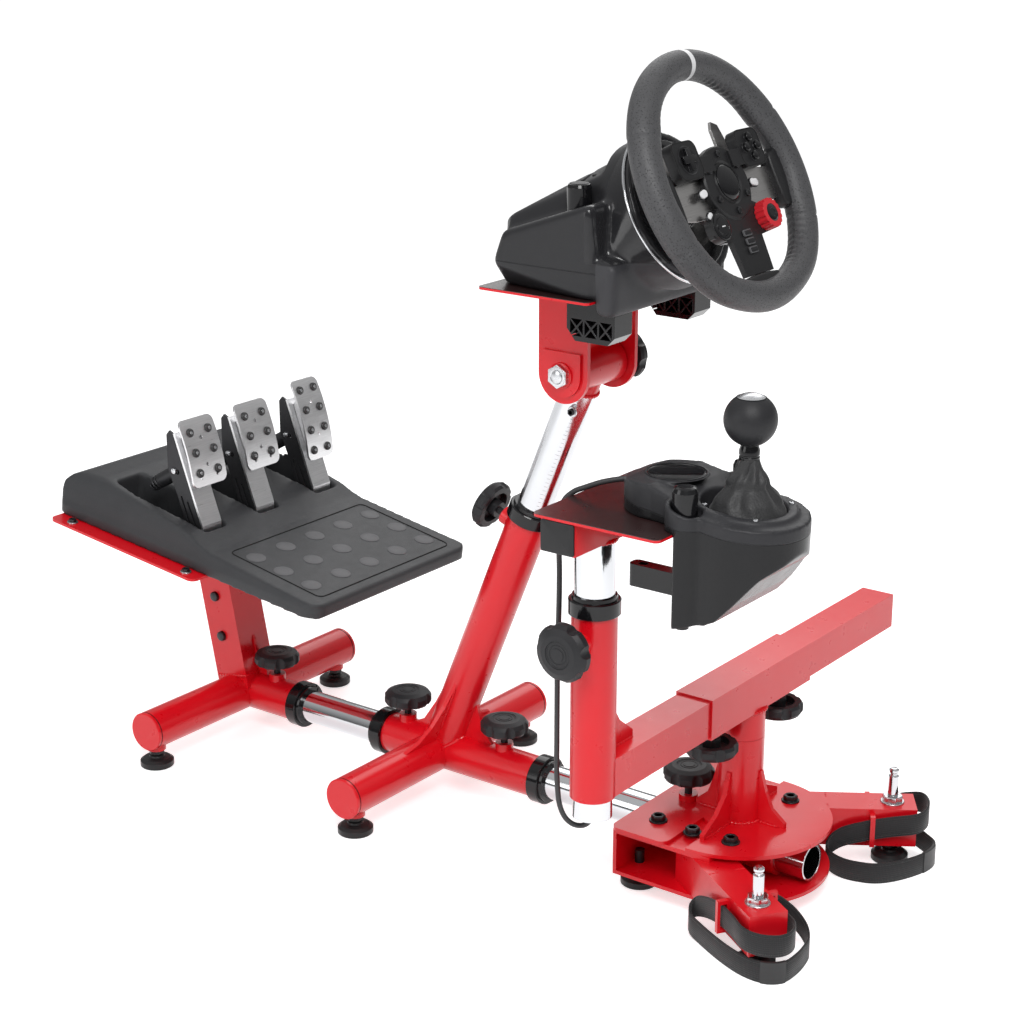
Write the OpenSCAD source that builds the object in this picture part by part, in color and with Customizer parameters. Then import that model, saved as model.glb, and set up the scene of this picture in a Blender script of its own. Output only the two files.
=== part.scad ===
// Adjustable driving-game cockpit: wheel, three pedals and gear shifter on a tubular steel stand.
// +X is the driver's right, +Y is forward towards the pedals, +Z is up, floor at zero.

/* [Stand] */
// height of the spine tube's axis above the floor
axis_height = 46; // [44:1:56]
// sideways place of the spine, so that the whole part is centred
spine_x = 20; // [0:0.5:40]
// forward place of the spine's datum, so that the whole part is centred
spine_y = -485.8; // [-560:0.5:-440]
// outside diameter of the chromed spine tube
spine_d = 38; // [34:0.5:39]
// wall of the round tubes
tube_wall = 2; // [1.5:0.5:3]
// rear end of the spine tube
spine_rear = 62.9; // [55:1:80]
// depth of the spine tube inside the front sleeve
spine_grip = 41.5; // [30:0.5:48]
// outside diameter of crossbars and sleeves
bar_d = 45.8; // [45:0.5:48]
// total length of each crossbar
bar_length = 346; // [345:2:400]
// distance of the front crossbar
front_bar_y = 841.5; // [838:1:850]
// distance of the middle crossbar
mid_bar_y = 540.9; // [530:1:552]
// radial gap between a tube and the sleeve that slides on it
slide_gap = 0.1; // [0.05:0.01:0.1]
// diameter of a levelling foot
foot_d = 39; // [34:1:42]
// height of a levelling foot's disc
foot_h = 10; // [8:1:11]
// diameter across a clamp knob
knob_d = 54; // [50:1:56]
// diameter of a clamp knob's stud
stud_d = 8; // [6:0.5:9]

/* [Pedals] */
// rise of the pedal plate towards the front, in degrees
pedal_tilt = 7.1; // [5:0.1:9]
// distance of the pedal base's heel edge behind the front crossbar
heel_back = 229.7; // [222:0.5:240]
// height of the heel edge above the spine axis
heel_z = 173.9; // [160:1:190]
// length of the pedal base
pedal_length = 408; // [402:1:420]
// width of the pedal base
pedal_width = 274; // [270:1:300]
// sideways place of the brake pedal and of the pedal base
pedal_x = 6; // [-4:1:10]
// sideways distance from brake to clutch
clutch_offset = 89; // [84:1:96]
// sideways distance from brake to throttle
throttle_offset = 100; // [92:1:104]
// width of the clutch and brake faces
face_width = 53; // [46:1:58]
// width of the throttle face
throttle_width = 44; // [38:1:50]
// width of a pedal arm
arm_width = 30; // [26:1:32]
// width of the red pedal plate
plate_width = 302; // [290:1:320]
// thickness of the red plates
plate_t = 3; // [2.5:0.5:4]
// side of the square pedal stem
stem_side = 48; // [42:1:54]
// lean of the pedal stem towards the front, in degrees
stem_lean = 11.3; // [9:0.1:13]

/* [Column] */
// rearward lean of the steering column, in degrees
column_lean = 22.5; // [21:0.5:24]
// outside diameter of the red column tube
column_d = 46; // [44:0.5:50]
// outside diameter of the chromed column mast
mast_d = 38; // [35:0.5:39]
// length of the red column tube from the crossbar's axis
column_length = 322; // [310:1:334]
// distance from the crossbar's axis to the tilt bolt along the column
tilt_distance = 514; // [500:1:530]
// width across the yoke
yoke_width = 90; // [86:1:96]
// depth of the yoke's side plates
yoke_depth = 60; // [56:1:64]
// height of the wheel deck's top above the tilt bolt
yoke_rise = 94.1; // [90:0.5:100]
// width of the wheel deck
deck_width = 220; // [214:1:230]
// depth of the wheel deck
deck_depth = 132; // [126:1:136]
// diameter of the tilt bolt
tilt_bolt_d = 12; // [10:1:14]

/* [Steering wheel] */
// outside diameter of the wheel rim
rim_d = 270; // [266:1:276]
// thickness of the rim
rim_t = 31; // [29:1:33]
// distance of the wheel's centre behind the tilt bolt
wheel_reach = 156.5; // [152:0.5:160]
// height of the wheel's centre above the tilt bolt
wheel_rise = 201.9; // [199:0.5:205]
// tilt of the wheel's axis above level, in degrees
wheel_tilt = 27.1; // [25:0.1:29]
// width of the wheel housing
housing_width = 210; // [204:1:214]
// radius of the round nose behind the wheel
nose_r = 76; // [72:1:80]
// radius of the wheel's shaft
shaft_r = 16; // [12:1:18]
// running gap round shafts and hinge pins
pin_gap = 0.05; // [0.02:0.01:0.1]

/* [Rear base] */
// half width of the rear base
base_half = 97; // [94:1:100]
// distance of the swing post
post_y = 148.9; // [146:0.5:152]
// outside diameter of the swing post
post_d = 46; // [44:0.5:50]
// height of the swing post's joint above the spine axis
post_joint = 120; // [112:1:124]
// width of the square leg tubes
leg_side = 40; // [38:1:42]
// splay of each leg, in degrees
leg_splay = 33.5; // [32:0.5:35]
// distance of a leg's end from the point where the two legs' axes meet
leg_reach = 276; // [272:1:280]
// radius of the caster-stem pins
pin_r = 5.5; // [5:0.1:6]
// length of the plain part of a caster-stem pin
pin_length = 22; // [20:1:26]

/* [Shifter arm] */
// side of the square sleeve
sleeve_side = 42; // [41:0.5:44]
// wall of the square sleeve
sleeve_wall = 2.2; // [1.6:0.1:2.6]
// height of the arm's axis above the spine axis
arm_z = 171.5; // [168:0.5:176]
// left end of the sleeve
sleeve_left = -95; // [-100:1:-90]
// right end of the sleeve
sleeve_right = 100; // [94:1:106]
// right end of the inner arm
arm_right = 288; // [270:1:300]
// sideways place of the shifter post
shift_post_x = -268.8; // [-275:0.2:-264]
// outside diameter of the shifter post
shift_post_d = 42; // [41:0.5:45]
// outside diameter of the shifter mast
shift_mast_d = 37; // [34:0.5:37.5]
// height of the shifter deck's top above the spine axis
shift_deck_z = 435; // [430:1:442]
// width of the shifter deck
shift_deck_w = 170; // [166:1:180]
// depth of the shifter deck
shift_deck_l = 130; // [126:1:136]
// sideways place of the shifter's middle
shifter_x = -241; // [-244:1:-238]
// distance of the gear lever
lever_y = 12; // [10:0.5:14]
// diameter of the lever's ball
ball_d = 51; // [48:1:54]

/* [Hidden] */
bar_r = bar_d / 2;
spine_r = spine_d / 2;
bore_r = spine_r + slide_gap;
mast_r = mast_d / 2;
stud_r = stud_d / 2;
post_r = post_d / 2;
gas_x = pedal_x + throttle_offset;
clutch_x = pedal_x - clutch_offset;
tilt_y = mid_bar_y - tilt_distance * sin(column_lean);
tilt_z = tilt_distance * cos(column_lean);
deck_top = tilt_z + yoke_rise;
wheel_y = tilt_y - wheel_reach;
wheel_z = tilt_z + wheel_rise;
arm_side = sleeve_side - 2 * sleeve_wall;
collar_r = bar_r + 4;
collar_l = 15;
boss_r = 10;
boss_h = 7;
stud_clear = 0.05;
knob_gap = 12;
floor_top = -22;
leg_top = 20;
box_top = 25;
plate_top = 29;
shift_post_r = shift_post_d / 2;
shift_mast_r = shift_mast_d / 2;
post_low = arm_z - arm_side / 2;
post_high = 331;
post_knob_z = post_high - 23;
sleeve_knobs_x = [sleeve_left + 35, sleeve_right - 30];
beam_top = shift_deck_z - plate_t;
beam_h = 30;
mast_low = 133;
grip_x = 49;
grip_y = 32;
grip_r = 6;
pivot_drop = 13;
bowl_r = 57;
well_r = 29;
ring_r = 22;
ball_z = 91;

// the front and middle sleeves, their knobs and feet
front_sleeve = 83;
spine_front = front_bar_y - front_sleeve + spine_grip;
front_knob_y = front_bar_y - 48.5;
front_foot_x = bar_length / 2 - 16;
mid_foot_x = bar_length / 2 - 21;
mid_rear = mid_bar_y - 137.2;
mid_front = mid_bar_y + 72.1;
mid_knobs_y = [mid_rear + 48.3, mid_front - 23];

// the pedals: heel rest, housing crest, wells and axles, measured from the heel edge
heel_y = front_bar_y - heel_back;
pad_end = 165;
deck_crest = 352;
well_front = 196;
axle_s = 212;
axle_h = 18;
axle_r = 3.9;
arm_bore = 4;
brake_low = [207, 86];
brake_high = [239, 158];
gas_low = [204, 74];
gas_high = [243, 164];

// the column's head and yoke
column_knob_z = column_length - 14;
head_r = 22;
mast_end = tilt_distance - head_r - 4;
yoke_plate = 5;
doubler = 3;

// the wheel: clamps on the housing, rim, spokes and paddle pins
clamp_x = 72;
clamp_y = -37;
clamp_r = 12;
clamp_seat = 72;
round_r = 7;
rim_centre = rim_d / 2 - rim_t / 2;
spoke_end = rim_centre - 30;
ear = [39, 18, -24.5];
ear_pin = 2;

// the rear base and its legs
rear_knob_y = 211;
rear_foot = [65, 228];
staple_t = leg_reach - 47;
pin_t = leg_reach - 24;
leg_h = leg_top - floor_top;
red = [0.78, 0.05, 0.07];
chromed = [0.85, 0.86, 0.88];
black = [0.07, 0.07, 0.075];
silver = [0.72, 0.73, 0.75];

// route of the shifter's lead, from its gland down the post and into the mast's open end
lead_route = [[-241, 129.2, 452], [-241, 134, 452], [-245, 142, 451], [-252, 154, 448], [-259, 166, 443],
    [-265, 176, 438], [-270, 183, 429], [-274, 184, 414], [-278, 182, 394], [-281, 179, 368], [-284, 177, 340],
    [-285, 177, 312], [-286, 177, 284], [-286, 177, 256], [-286, 177, 228], [-286, 177, 200], [-286, 177, 178],
    [-285, 176.5, 158], [-284, 175, 142], [-281, 171, 129], [-277, 164, 122], [-272.5, 156, 121.5],
    [-269.6, 150.6, 127], [-268.8, 149, 137], [-268.8, 148.9, 147]];
lead_d = 5;

// the straps' closed loops, each from its eye on the leg, round the leg's end and back over the floor
left_strap = [[-25.5, 0, 0], [-25, -20, 0], [-25, -44, -1], [-15, -59, -2.5], [2, -66, -3.5], [17, -62, -3.5],
    [27, -48, -2.5], [27, -24, -1], [25.5, 0, 0], [27.5, 10, -1], [35, 14, -4], [44, 8, -9], [52, -5, -16],
    [56, -18, -25], [53, -30, -31.5], [44, -40, -33.5], [29, -53, -33.5], [11, -63, -33.5], [-4, -61, -33.5],
    [-15, -51, -33.5], [-23, -35, -33.5], [-28.5, -14, -33.5], [-32, 9, -33.5], [-34.5, 30, -33], [-37, 46, -30.5],
    [-34.5, 55, -25], [-29, 54, -17], [-26.5, 40, -10], [-25.5, 20, -4]];
right_strap = [[25.5, 0, 0], [26.5, -22, 5], [26, -45, 9], [18, -57, 12], [1, -61, 12], [-16, -57, 10],
    [-25.5, -45, 7.5], [-25.5, -22, 4], [-25.5, 0, 0], [-27, 11, -2], [-27.5, 23, -5], [-27, 34, -10],
    [-28.5, 43, -17], [-33, 47, -25], [-40, 42, -31], [-49, 30, -33.5], [-56, 15, -33.5], [-59, -1, -33.5],
    [-55, -18, -33.5], [-45, -37, -33.5], [-32, -54, -33.5], [-18, -65, -33.5], [-3, -69, -33.5], [10, -63, -32],
    [22, -52, -28], [32, -37, -22], [39, -20, -16], [42, -3, -11], [40, 10, -6], [33, 15, -3], [27.5, 9, -1]];
strap_w = 23;
strap_t = 2;

/* [View] */
// which sub-part to show, or all of them

module placed() {
    translate([spine_x, spine_y, axis_height]) children();
}

// a tube along Y; no bore when the bore is 0
module tube_y(r, bore, y0, y1) {
    translate([0, y0, 0]) rotate([-90, 0, 0]) difference() {
        cylinder(h = y1 - y0, r = r, $fn = 64);
        if (bore > 0) translate([0, 0, -1]) cylinder(h = y1 - y0 + 2, r = bore, $fn = 64);
    }
}

// a lobed clamp knob, hollow below, on its threaded stud, which starts at the origin
module star_knob(stud) {
    rim = knob_d / 2;
    cylinder(h = stud + 4, r = stud_r, $fn = 32);
    translate([0, 0, stud]) difference() {
        rotate_extrude($fn = 96) polygon([[0, 0], [stud_r + 5, 0], [stud_r + 5, 12], [rim - 9, 12],
            [rim - 9, 5], [rim - 2, 5], [rim, 8], [rim, 14], [rim - 3, 18], [rim - 9, 20.5],
            [rim - 14, 21], [rim - 14.5, 20], [0, 20]]);
        for (k = [0:6]) rotate((k + 0.5) * 360 / 7) translate([rim + 3.6, 0, -1])
            cylinder(h = 30, r = 7, $fn = 48);
    }
}

// the collar that ends a sleeve: a wide ring against the sleeve, a narrow lip towards the tube
module sleeve_collar(outer, bore) {
    difference() {
        rotate_extrude($fn = 96) polygon([[bore, 0], [outer - 1, 0], [outer, 1], [outer, collar_l - 1],
            [outer - 1, collar_l], [outer - 3, collar_l], [outer - 3.5, collar_l + 3.5], [bore, collar_l + 3.5]]);
        rotate(55) translate([bore - 2, -1, collar_l - 5]) cube([outer, 2, 12]);
    }
}

// a screw-in levelling foot: disc, stud and lock nut under a seat at the given height
module foot(x, y, seat, grip) {
    translate([x, y, -axis_height]) {
        rotate_extrude($fn = 64) polygon([[0, 0], [foot_d / 2 - 1, 0], [foot_d / 2, 1], [foot_d / 2, foot_h - 3],
            [foot_d / 2 - 4, foot_h], [9, foot_h + 1], [8, foot_h + 3], [0, foot_h + 3]]);
        translate([0, 0, foot_h]) cylinder(h = seat + axis_height - foot_h + grip, r = 5, $fn = 32);
        translate([0, 0, seat + axis_height - 5]) cylinder(h = 5, r = 9, $fn = 6);
    }
}

module foot_hole(x, y) {
    translate([x, y, -axis_height]) cylinder(h = axis_height - 6, r = 5 + stud_clear, $fn = 32);
}

module spine_tube() {
    color(chromed) placed() tube_y(spine_r, spine_r - tube_wall, spine_rear, spine_front);
}

// a closed round bar with a welded disc at each end and a threaded seat for each foot
module crossbar(y, foot_x) {
    half = bar_length / 2;
    difference() {
        union() {
            translate([-half, y, 0]) rotate([0, 90, 0]) rotate_extrude($fn = 96)
                polygon([[0, 0], [bar_r - 1, 0], [bar_r, 1], [bar_r, 4], [bar_r - 0.8, 4.4], [bar_r - 0.8, 5.2],
                    [bar_r, 5.6], [bar_r, bar_length - 5.6], [bar_r - 0.8, bar_length - 5.2],
                    [bar_r - 0.8, bar_length - 4.4], [bar_r, bar_length - 4], [bar_r, bar_length - 1],
                    [bar_r - 1, bar_length], [0, bar_length]]);
            for (x = [-foot_x, foot_x]) translate([x, y, -bar_r - 3]) cylinder(h = 8, r = 11, $fn = 48);
        }
        translate([-half + 6, y, 0]) rotate([0, 90, 0])
            cylinder(h = bar_length - 12, r = bar_r - tube_wall, $fn = 64);
        for (x = [-foot_x, foot_x]) foot_hole(x, y);
    }
}

module clamp_hole(y, r = stud_r) {
    translate([0, y, 0]) cylinder(h = 60, r = r + stud_clear, $fn = 32);
}

module clamp_boss(y) {
    translate([0, y, bar_r - 2]) cylinder(h = boss_h + 2, r = boss_r, $fn = 48);
}

module front_crossbar() {
    color(red) placed() difference() {
        union() {
            crossbar(front_bar_y, front_foot_x);
            tube_y(bar_r, 0, front_bar_y - front_sleeve, front_bar_y);
            clamp_boss(front_knob_y);
        }
        tube_y(bore_r, 0, front_bar_y - front_sleeve - 7, front_bar_y);
        clamp_hole(front_knob_y);
    }
}

module front_feet() {
    color(black) placed() for (x = [-front_foot_x, front_foot_x])
        foot(x, front_bar_y, -bar_r - 3, 9);
}

module front_collar() {
    color(black) placed() translate([0, front_bar_y - front_sleeve, 0]) rotate([90, 0, 0])
        sleeve_collar(collar_r, bore_r);
}

module front_knob() {
    color(black) placed() translate([0, front_knob_y, spine_r]) star_knob(knob_gap + bar_r - spine_r + 3.5);
}

// places children in the pedal plate's own frame: x, distance from the heel, height
module on_pedals() {
    placed() translate([0, heel_y, heel_z]) rotate([pedal_tilt, 0, 0]) children();
}

module pedal_stem() {
    half = stem_side / 2;
    color(red) difference() {
        placed() translate([0, front_bar_y, 0]) rotate([-stem_lean, 0, 0]) {
            difference() {
                translate([-half, -half, 6]) cube([stem_side, stem_side, heel_z + 60]);
                translate([-half + 3, -half + 3, 30]) cube([stem_side - 6, stem_side - 6, heel_z + 60]);
            }
            translate([2, -half + 1, bar_r - 6]) rotate([90, 0, -90]) linear_extrude(height = 4)
                polygon([[0, 0], [14.5, 0], [14.5, 7], [9, 14], [4.5, 24], [3.4, 44], [1, 50], [0, 50]]);
        }
        on_pedals() translate([-200, 0, -plate_t]) cube([400, 500, 100]);
        placed() translate([-100, front_bar_y, 0]) rotate([0, 90, 0]) cylinder(h = 200, r = bar_r, $fn = 64);
        placed() tube_y(bar_r, 0, front_bar_y - 120, front_bar_y);
    }
}

// a flat outline with rounded corners, from its lower left corner
module rounded(w, l, r) {
    translate([0, r]) square([w, l - 2 * r]);
    translate([r, 0]) square([w - 2 * r, l]);
    for (u = [r, w - r], v = [r, l - r]) translate([u, v]) circle(r = r, $fn = 48);
}

module pedal_plate() {
    color(red) on_pedals() translate([-plate_width / 2, pad_end, -plate_t])
        linear_extrude(height = plate_t) rounded(plate_width, pedal_length - pad_end - 8, 9);
}

// the pedal housing is where its side profile, its plan and its drafted front view all meet
module pedal_shell() {
    half = pedal_width / 2;
    long = pedal_length;
    intersection() {
        translate([-200, 0, 0]) rotate([90, 0, 90]) linear_extrude(height = 400)
            polygon([[0, 3], [0, 14], [3, 17], [pad_end, 26], [pad_end + 10, 28], [pad_end + 35, 37],
                [pad_end + 50, 40], [deck_crest - 60, 49], [deck_crest, 55], [deck_crest + 30, 54],
                [long - 12, 49], [long - 2, 40], [long, 30], [long, 0], [3, 0]]);
        translate([pedal_x - half, 0, -1]) linear_extrude(height = 80) union() {
            rounded(2 * half, 60, 20);
            translate([0, 30]) rounded(2 * half, long - 30, 12);
        }
        translate([pedal_x, long + 1, 0]) rotate([90, 0, 0]) linear_extrude(height = long + 2)
            polygon([[-half, 0], [-half, 13], [-half + 2, 16], [-half + 5, 30], [-half + 10, 46], [-half + 15, 52],
                [-half + 24, 56], [half - 24, 56], [half - 15, 52], [half - 10, 46], [half - 5, 30],
                [half - 2, 16], [half, 13], [half, 0]]);
    }
}

// one pedal's well: narrow at the driver's side, flaring forward round the spring
module pedal_well(x) {
    translate([x, 0, 5]) linear_extrude(height = 80) polygon([[-18, well_front], [18, well_front], [22, 250],
        [26, 300], [20, 340], [-20, 340], [-26, 300], [-22, 250]]);
}

module pedal_base() {
    color(black) on_pedals() {
        difference() {
            pedal_shell();
            for (x = [clutch_x, pedal_x, gas_x]) pedal_well(x);
            translate([pedal_x - 104, deck_crest + 5, 52]) cube([18, 3, 12]);
            translate([pedal_x + 86, deck_crest + 5, 52]) cube([18, 3, 12]);
        }
        for (x = [clutch_x, pedal_x, gas_x]) translate([x - 24, axle_s, axle_h]) rotate([0, 90, 0])
            cylinder(h = 48, r = axle_r, $fn = 48);
    }
}

// one pedal arm: its pivot barrel, two side cheeks with their slots, and the spring strut
module pedal_arm(x) {
    half = arm_width / 2;
    on_pedals() translate([x, 0, 0]) {
        difference() {
            union() {
                translate([-half, axle_s, axle_h]) rotate([0, 90, 0]) cylinder(h = arm_width, r = 7, $fn = 48);
                for (side = [-half, half - 2.5]) translate([side, 0, 0]) rotate([90, 0, 90])
                    linear_extrude(height = 2.5) difference() {
                        polygon([[204, 18], [208, 12], [216, 12], [222, 20], [244, 62], [262, 92], [267, 132],
                            [263, 138], [257, 136], [206, 38]]);
                        polygon([[212, 34], [228, 62], [230, 60], [214, 32]]);
                        polygon([[222, 34], [238, 66], [240, 64], [224, 32]]);
                        translate([247, 92]) circle(r = 3.2, $fn = 32);
                    }
            }
            translate([-half - 1, axle_s, axle_h]) rotate([0, 90, 0])
                cylinder(h = arm_width + 2, r = arm_bore, $fn = 48);
        }
        translate([-half + 1, 252, 92]) rotate([0, 90, 0]) cylinder(h = arm_width - 2, r = 5, $fn = 32);
        translate([0, 252, 92]) rotate([-127, 0, 0]) cylinder(h = 42, r = 9, $fn = 48);
        translate([0, 252, 92]) rotate([-127, 0, 0]) translate([0, 0, 14]) cylinder(h = 46, r = 4, $fn = 32);
    }
}

// a bright pedal face, slightly bowed, and the strip that carries it up from the pivot
module pedal_face(x, w, low, high) {
    half = arm_width / 2;
    lean = atan2(high[0] - low[0], high[1] - low[1]);
    long = norm(high - low);
    bow = 220;
    on_pedals() translate([x, 0, 0]) {
        translate([-half, 0, 0]) rotate([90, 0, 90]) linear_extrude(height = arm_width)
            polygon([[201, 20], [203.9, 17.5], [205.9, 38], [256.8, 136], [254, 137.5], [203, 39]]);
        translate([-8, 0, 0]) rotate([90, 0, 90]) linear_extrude(height = 16)
            polygon([[222, 77], [250, 131], [238, 150], [211, 93]]);
        translate([0, low[0], low[1]]) rotate([-lean, 0, 0]) intersection() {
            translate([-w / 2, 0, 0]) rotate([90, 0, 0]) mirror([0, 0, 1]) translate([0, 0, -12])
                linear_extrude(height = 24) difference() {
                    rounded(w, long, 8);
                    for (u = [0.26, 0.74]) translate([w * u, long * 0.13]) circle(r = 2.2, $fn = 24);
                    for (u = [0.3, 0.7]) translate([w * 0.5, long * u]) circle(r = 2.2, $fn = 24);
                }
            translate([-w, bow - 3, long / 2]) rotate([0, 90, 0]) difference() {
                cylinder(h = 2 * w, r = bow, $fn = 180);
                translate([0, 0, -1]) cylinder(h = 2 * w + 2, r = bow - 2.5, $fn = 180);
            }
        }
    }
}

module clutch_arm() {
    color(black) pedal_arm(clutch_x);
}

module brake_arm() {
    color(black) pedal_arm(pedal_x);
}

module throttle_arm() {
    color(black) pedal_arm(gas_x);
}

module clutch_face() {
    color(silver) pedal_face(clutch_x, face_width, brake_low, brake_high);
}

module brake_face() {
    color(silver) pedal_face(pedal_x, face_width, brake_low, brake_high);
}

module throttle_face() {
    color(silver) pedal_face(gas_x, throttle_width, gas_low, gas_high);
}

module mid_crossbar() {
    color(red) placed() difference() {
        union() {
            crossbar(mid_bar_y, mid_foot_x);
            tube_y(bar_r, 0, mid_rear, mid_front);
            for (y = mid_knobs_y) clamp_boss(y);
        }
        tube_y(bore_r, 0, mid_rear - 10, mid_front + 10);
        for (y = mid_knobs_y) clamp_hole(y);
    }
}

module mid_feet() {
    color(black) placed() for (x = [-mid_foot_x, mid_foot_x])
        foot(x, mid_bar_y, -bar_r - 3, 9);
}

// places children in the steering column's frame, with z up its leaning axis
module on_column() {
    placed() translate([0, mid_bar_y, 0]) rotate([column_lean, 0, 0]) children();
}

module mid_collars() {
    color(black) {
        placed() translate([0, mid_front, 0]) rotate([-90, 0, 0]) sleeve_collar(collar_r, bore_r);
        placed() translate([0, mid_rear, 0]) rotate([90, 0, 0]) sleeve_collar(collar_r, bore_r);
        on_column() translate([0, 0, column_length]) sleeve_collar(column_d / 2 + 3, mast_r + slide_gap);
    }
}

module mid_knobs() {
    color(black) {
        placed() for (y = mid_knobs_y) translate([0, y, spine_r]) star_knob(knob_gap + bar_r - spine_r + 3.5);
        on_column() translate([0, mast_r, column_knob_z]) rotate([-90, 0, 0])
            star_knob(knob_gap + column_d / 2 - mast_r + 3.5);
    }
}

module column_tube() {
    r = column_d / 2;
    color(red) difference() {
        union() {
            on_column() {
                cylinder(h = column_length, r = r, $fn = 96);
                translate([0, r - 2, column_knob_z]) rotate([-90, 0, 0])
                    cylinder(h = boss_h + 2, r = boss_r, $fn = 48);
                for (side = [0, 180]) rotate(side) translate([r - 2, 2, 6]) rotate([90, 0, 0])
                    linear_extrude(height = 4)
                    polygon([[0, 0], [56, 0], [56, 17], [36, 24], [20, 40], [9, 66], [2, 96], [0, 96]]);
            }
            translate([spine_x - 2, spine_y, axis_height]) rotate([90, 0, 90]) linear_extrude(height = 4)
                polygon([[mid_bar_y, 10], [mid_bar_y - 72, 10], [mid_bar_y - 72, 24], [mid_bar_y - 64, 34],
                    [mid_bar_y - 54, 56], [mid_bar_y - 48, 84], [mid_bar_y - 30, 84]]);
            translate([spine_x - 2, spine_y, axis_height]) rotate([90, 0, 90]) linear_extrude(height = 4)
                polygon([[mid_bar_y, 10], [mid_bar_y + 38, 10], [mid_bar_y + 38, 23], [mid_bar_y + 24, 30],
                    [mid_bar_y + 6, 56], [mid_bar_y - 12, 88], [mid_bar_y - 24, 86]]);
        }
        on_column() {
            translate([0, 0, 34]) cylinder(h = column_length, r = mast_r + slide_gap, $fn = 96);
            translate([0, 0, column_knob_z]) rotate([-90, 0, 0]) cylinder(h = 60, r = stud_r + stud_clear, $fn = 32);
        }
        placed() tube_y(bar_r, 0, mid_rear - 40, mid_front + 40);
        placed() translate([-bar_length / 2, mid_bar_y, 0]) rotate([0, 90, 0])
            cylinder(h = bar_length, r = bar_r, $fn = 64);
    }
}

module column_mast() {
    color(chromed) on_column() translate([0, 0, 150]) difference() {
        cylinder(h = mast_end - 150, r = mast_r, $fn = 96);
        translate([0, 0, -1]) cylinder(h = tilt_distance, r = mast_r - tube_wall, $fn = 96);
    }
}

// the cross barrel welded on the mast's end, which the yoke tilts about
module mast_head() {
    half = yoke_width / 2 - 7;
    color(red) on_column() difference() {
        union() {
            translate([-half, 0, tilt_distance]) rotate([0, 90, 0]) cylinder(h = 2 * half, r = head_r, $fn = 96);
            translate([0, 0, mast_end]) cylinder(h = head_r, r = mast_r, $fn = 96);
            translate([0, 0, mast_end - 24]) cylinder(h = 30, r = mast_r - tube_wall, $fn = 96);
        }
        translate([-half - 1, 0, tilt_distance]) rotate([0, 90, 0])
            cylinder(h = 2 * half + 2, r = tilt_bolt_d / 2 + pin_gap, $fn = 48);
        for (side = [-1, 1]) translate([side * half - 6, 0, tilt_distance]) rotate([0, 90, 0])
            rotate_extrude($fn = 96) polygon([[tilt_bolt_d / 2 + 5, 0], [head_r - 4, 0], [head_r - 4, 12],
                [tilt_bolt_d / 2 + 5, 12]]);
    }
}

// places children at the tilt bolt, in the wheel deck's upright frame
module on_tilt() {
    placed() translate([0, tilt_y, tilt_z]) children();
}

// a side plate: round below the bolt, straight above it
module yoke_side(t, r, top) {
    rotate([90, 0, 90]) linear_extrude(height = t) {
        circle(r = r, $fn = 96);
        translate([-r, 0]) square([2 * r, top]);
    }
}

module yoke() {
    half = yoke_width / 2;
    r = yoke_depth / 2;
    under = yoke_rise - plate_t;
    color(red) on_tilt() difference() {
        union() {
            for (x = [-half, half - yoke_plate]) translate([x, 0, 0]) yoke_side(yoke_plate, r, under);
            translate([-half - doubler, 0, 0]) yoke_side(doubler + 1, r - 7, 24);
            translate([half - 1, 0, 0]) yoke_side(doubler + 1, r - 7, 24);
            translate([-half, -r, under - 5]) cube([yoke_width, yoke_depth, 5]);
            translate([-half, -r, under - 26]) cube([yoke_width, 4, 26]);
        }
        translate([-100, 0, 0]) rotate([0, 90, 0]) cylinder(h = 200, r = tilt_bolt_d / 2 + pin_gap, $fn = 48);
    }
}

module wheel_deck() {
    color(red) on_tilt() translate([-deck_width / 2, -74, yoke_rise - plate_t])
        linear_extrude(height = plate_t) rounded(deck_width, deck_depth, 5);
}

// places children in the wheel's frame: x to the right, y up the rim's plane, z to the driver
module on_wheel() {
    placed() translate([0, wheel_y, wheel_z]) rotate([90 - wheel_tilt, 0, 0]) children();
}

// a blend between points of the half outline, mirrored, each point a small ball
module blend(points) {
    hull() for (side = [-1, 1], p = points) translate([side * p[0], p[1], yoke_rise + p[2]])
        sphere(r = round_r, $fn = 12);
}

module wheelbase() {
    side = housing_width / 2 - round_r;
    color(black) difference() {
        union() {
            on_tilt() difference() {
                union() {
                    blend([[side, -66, 84], [side, 28, 51], [side - 1, 38, 26], [side - 1, -72, 26],
                        [side - 20, 38, 4], [side - 2, -68, 4], [42, 64, 40], [32, 70, 26], [42, 60, 4]]);
                    blend([[60, -68, 88], [52, -74, 116], [12, -64, 127], [50, 54, 58], [60, 48, 40], [38, 67, 52]]);
                    blend([[side - 2, -92, -8], [side - 2, -92, 30], [side - 2, -82, 34], [side - 2, -82, -8]]);
                }
                translate([-200, -74.5, yoke_rise - 40]) cube([400, 300, 40]);
                for (x = [-clamp_x, clamp_x]) translate([x, clamp_y, yoke_rise + clamp_seat])
                    cylinder(h = 90, r = clamp_r + 0.5, $fn = 64);
                for (k = [0:2]) translate([-46, -50 + k * 14, yoke_rise + 108.5 - k * 6.3]) cube([24, 4, 30]);
            }
            hull() {
                on_wheel() translate([0, 0, -90]) cylinder(h = 34, r = nose_r, $fn = 72);
                on_tilt() for (u = [-1, 1], z = [24, 96]) translate([u * (side - 12 - z / 4), -70, yoke_rise + z])
                    sphere(r = round_r, $fn = 14);
            }
        }
        on_wheel() translate([0, 0, -94]) cylinder(h = 60, r = shaft_r + pin_gap, $fn = 64);
    }
}

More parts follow.
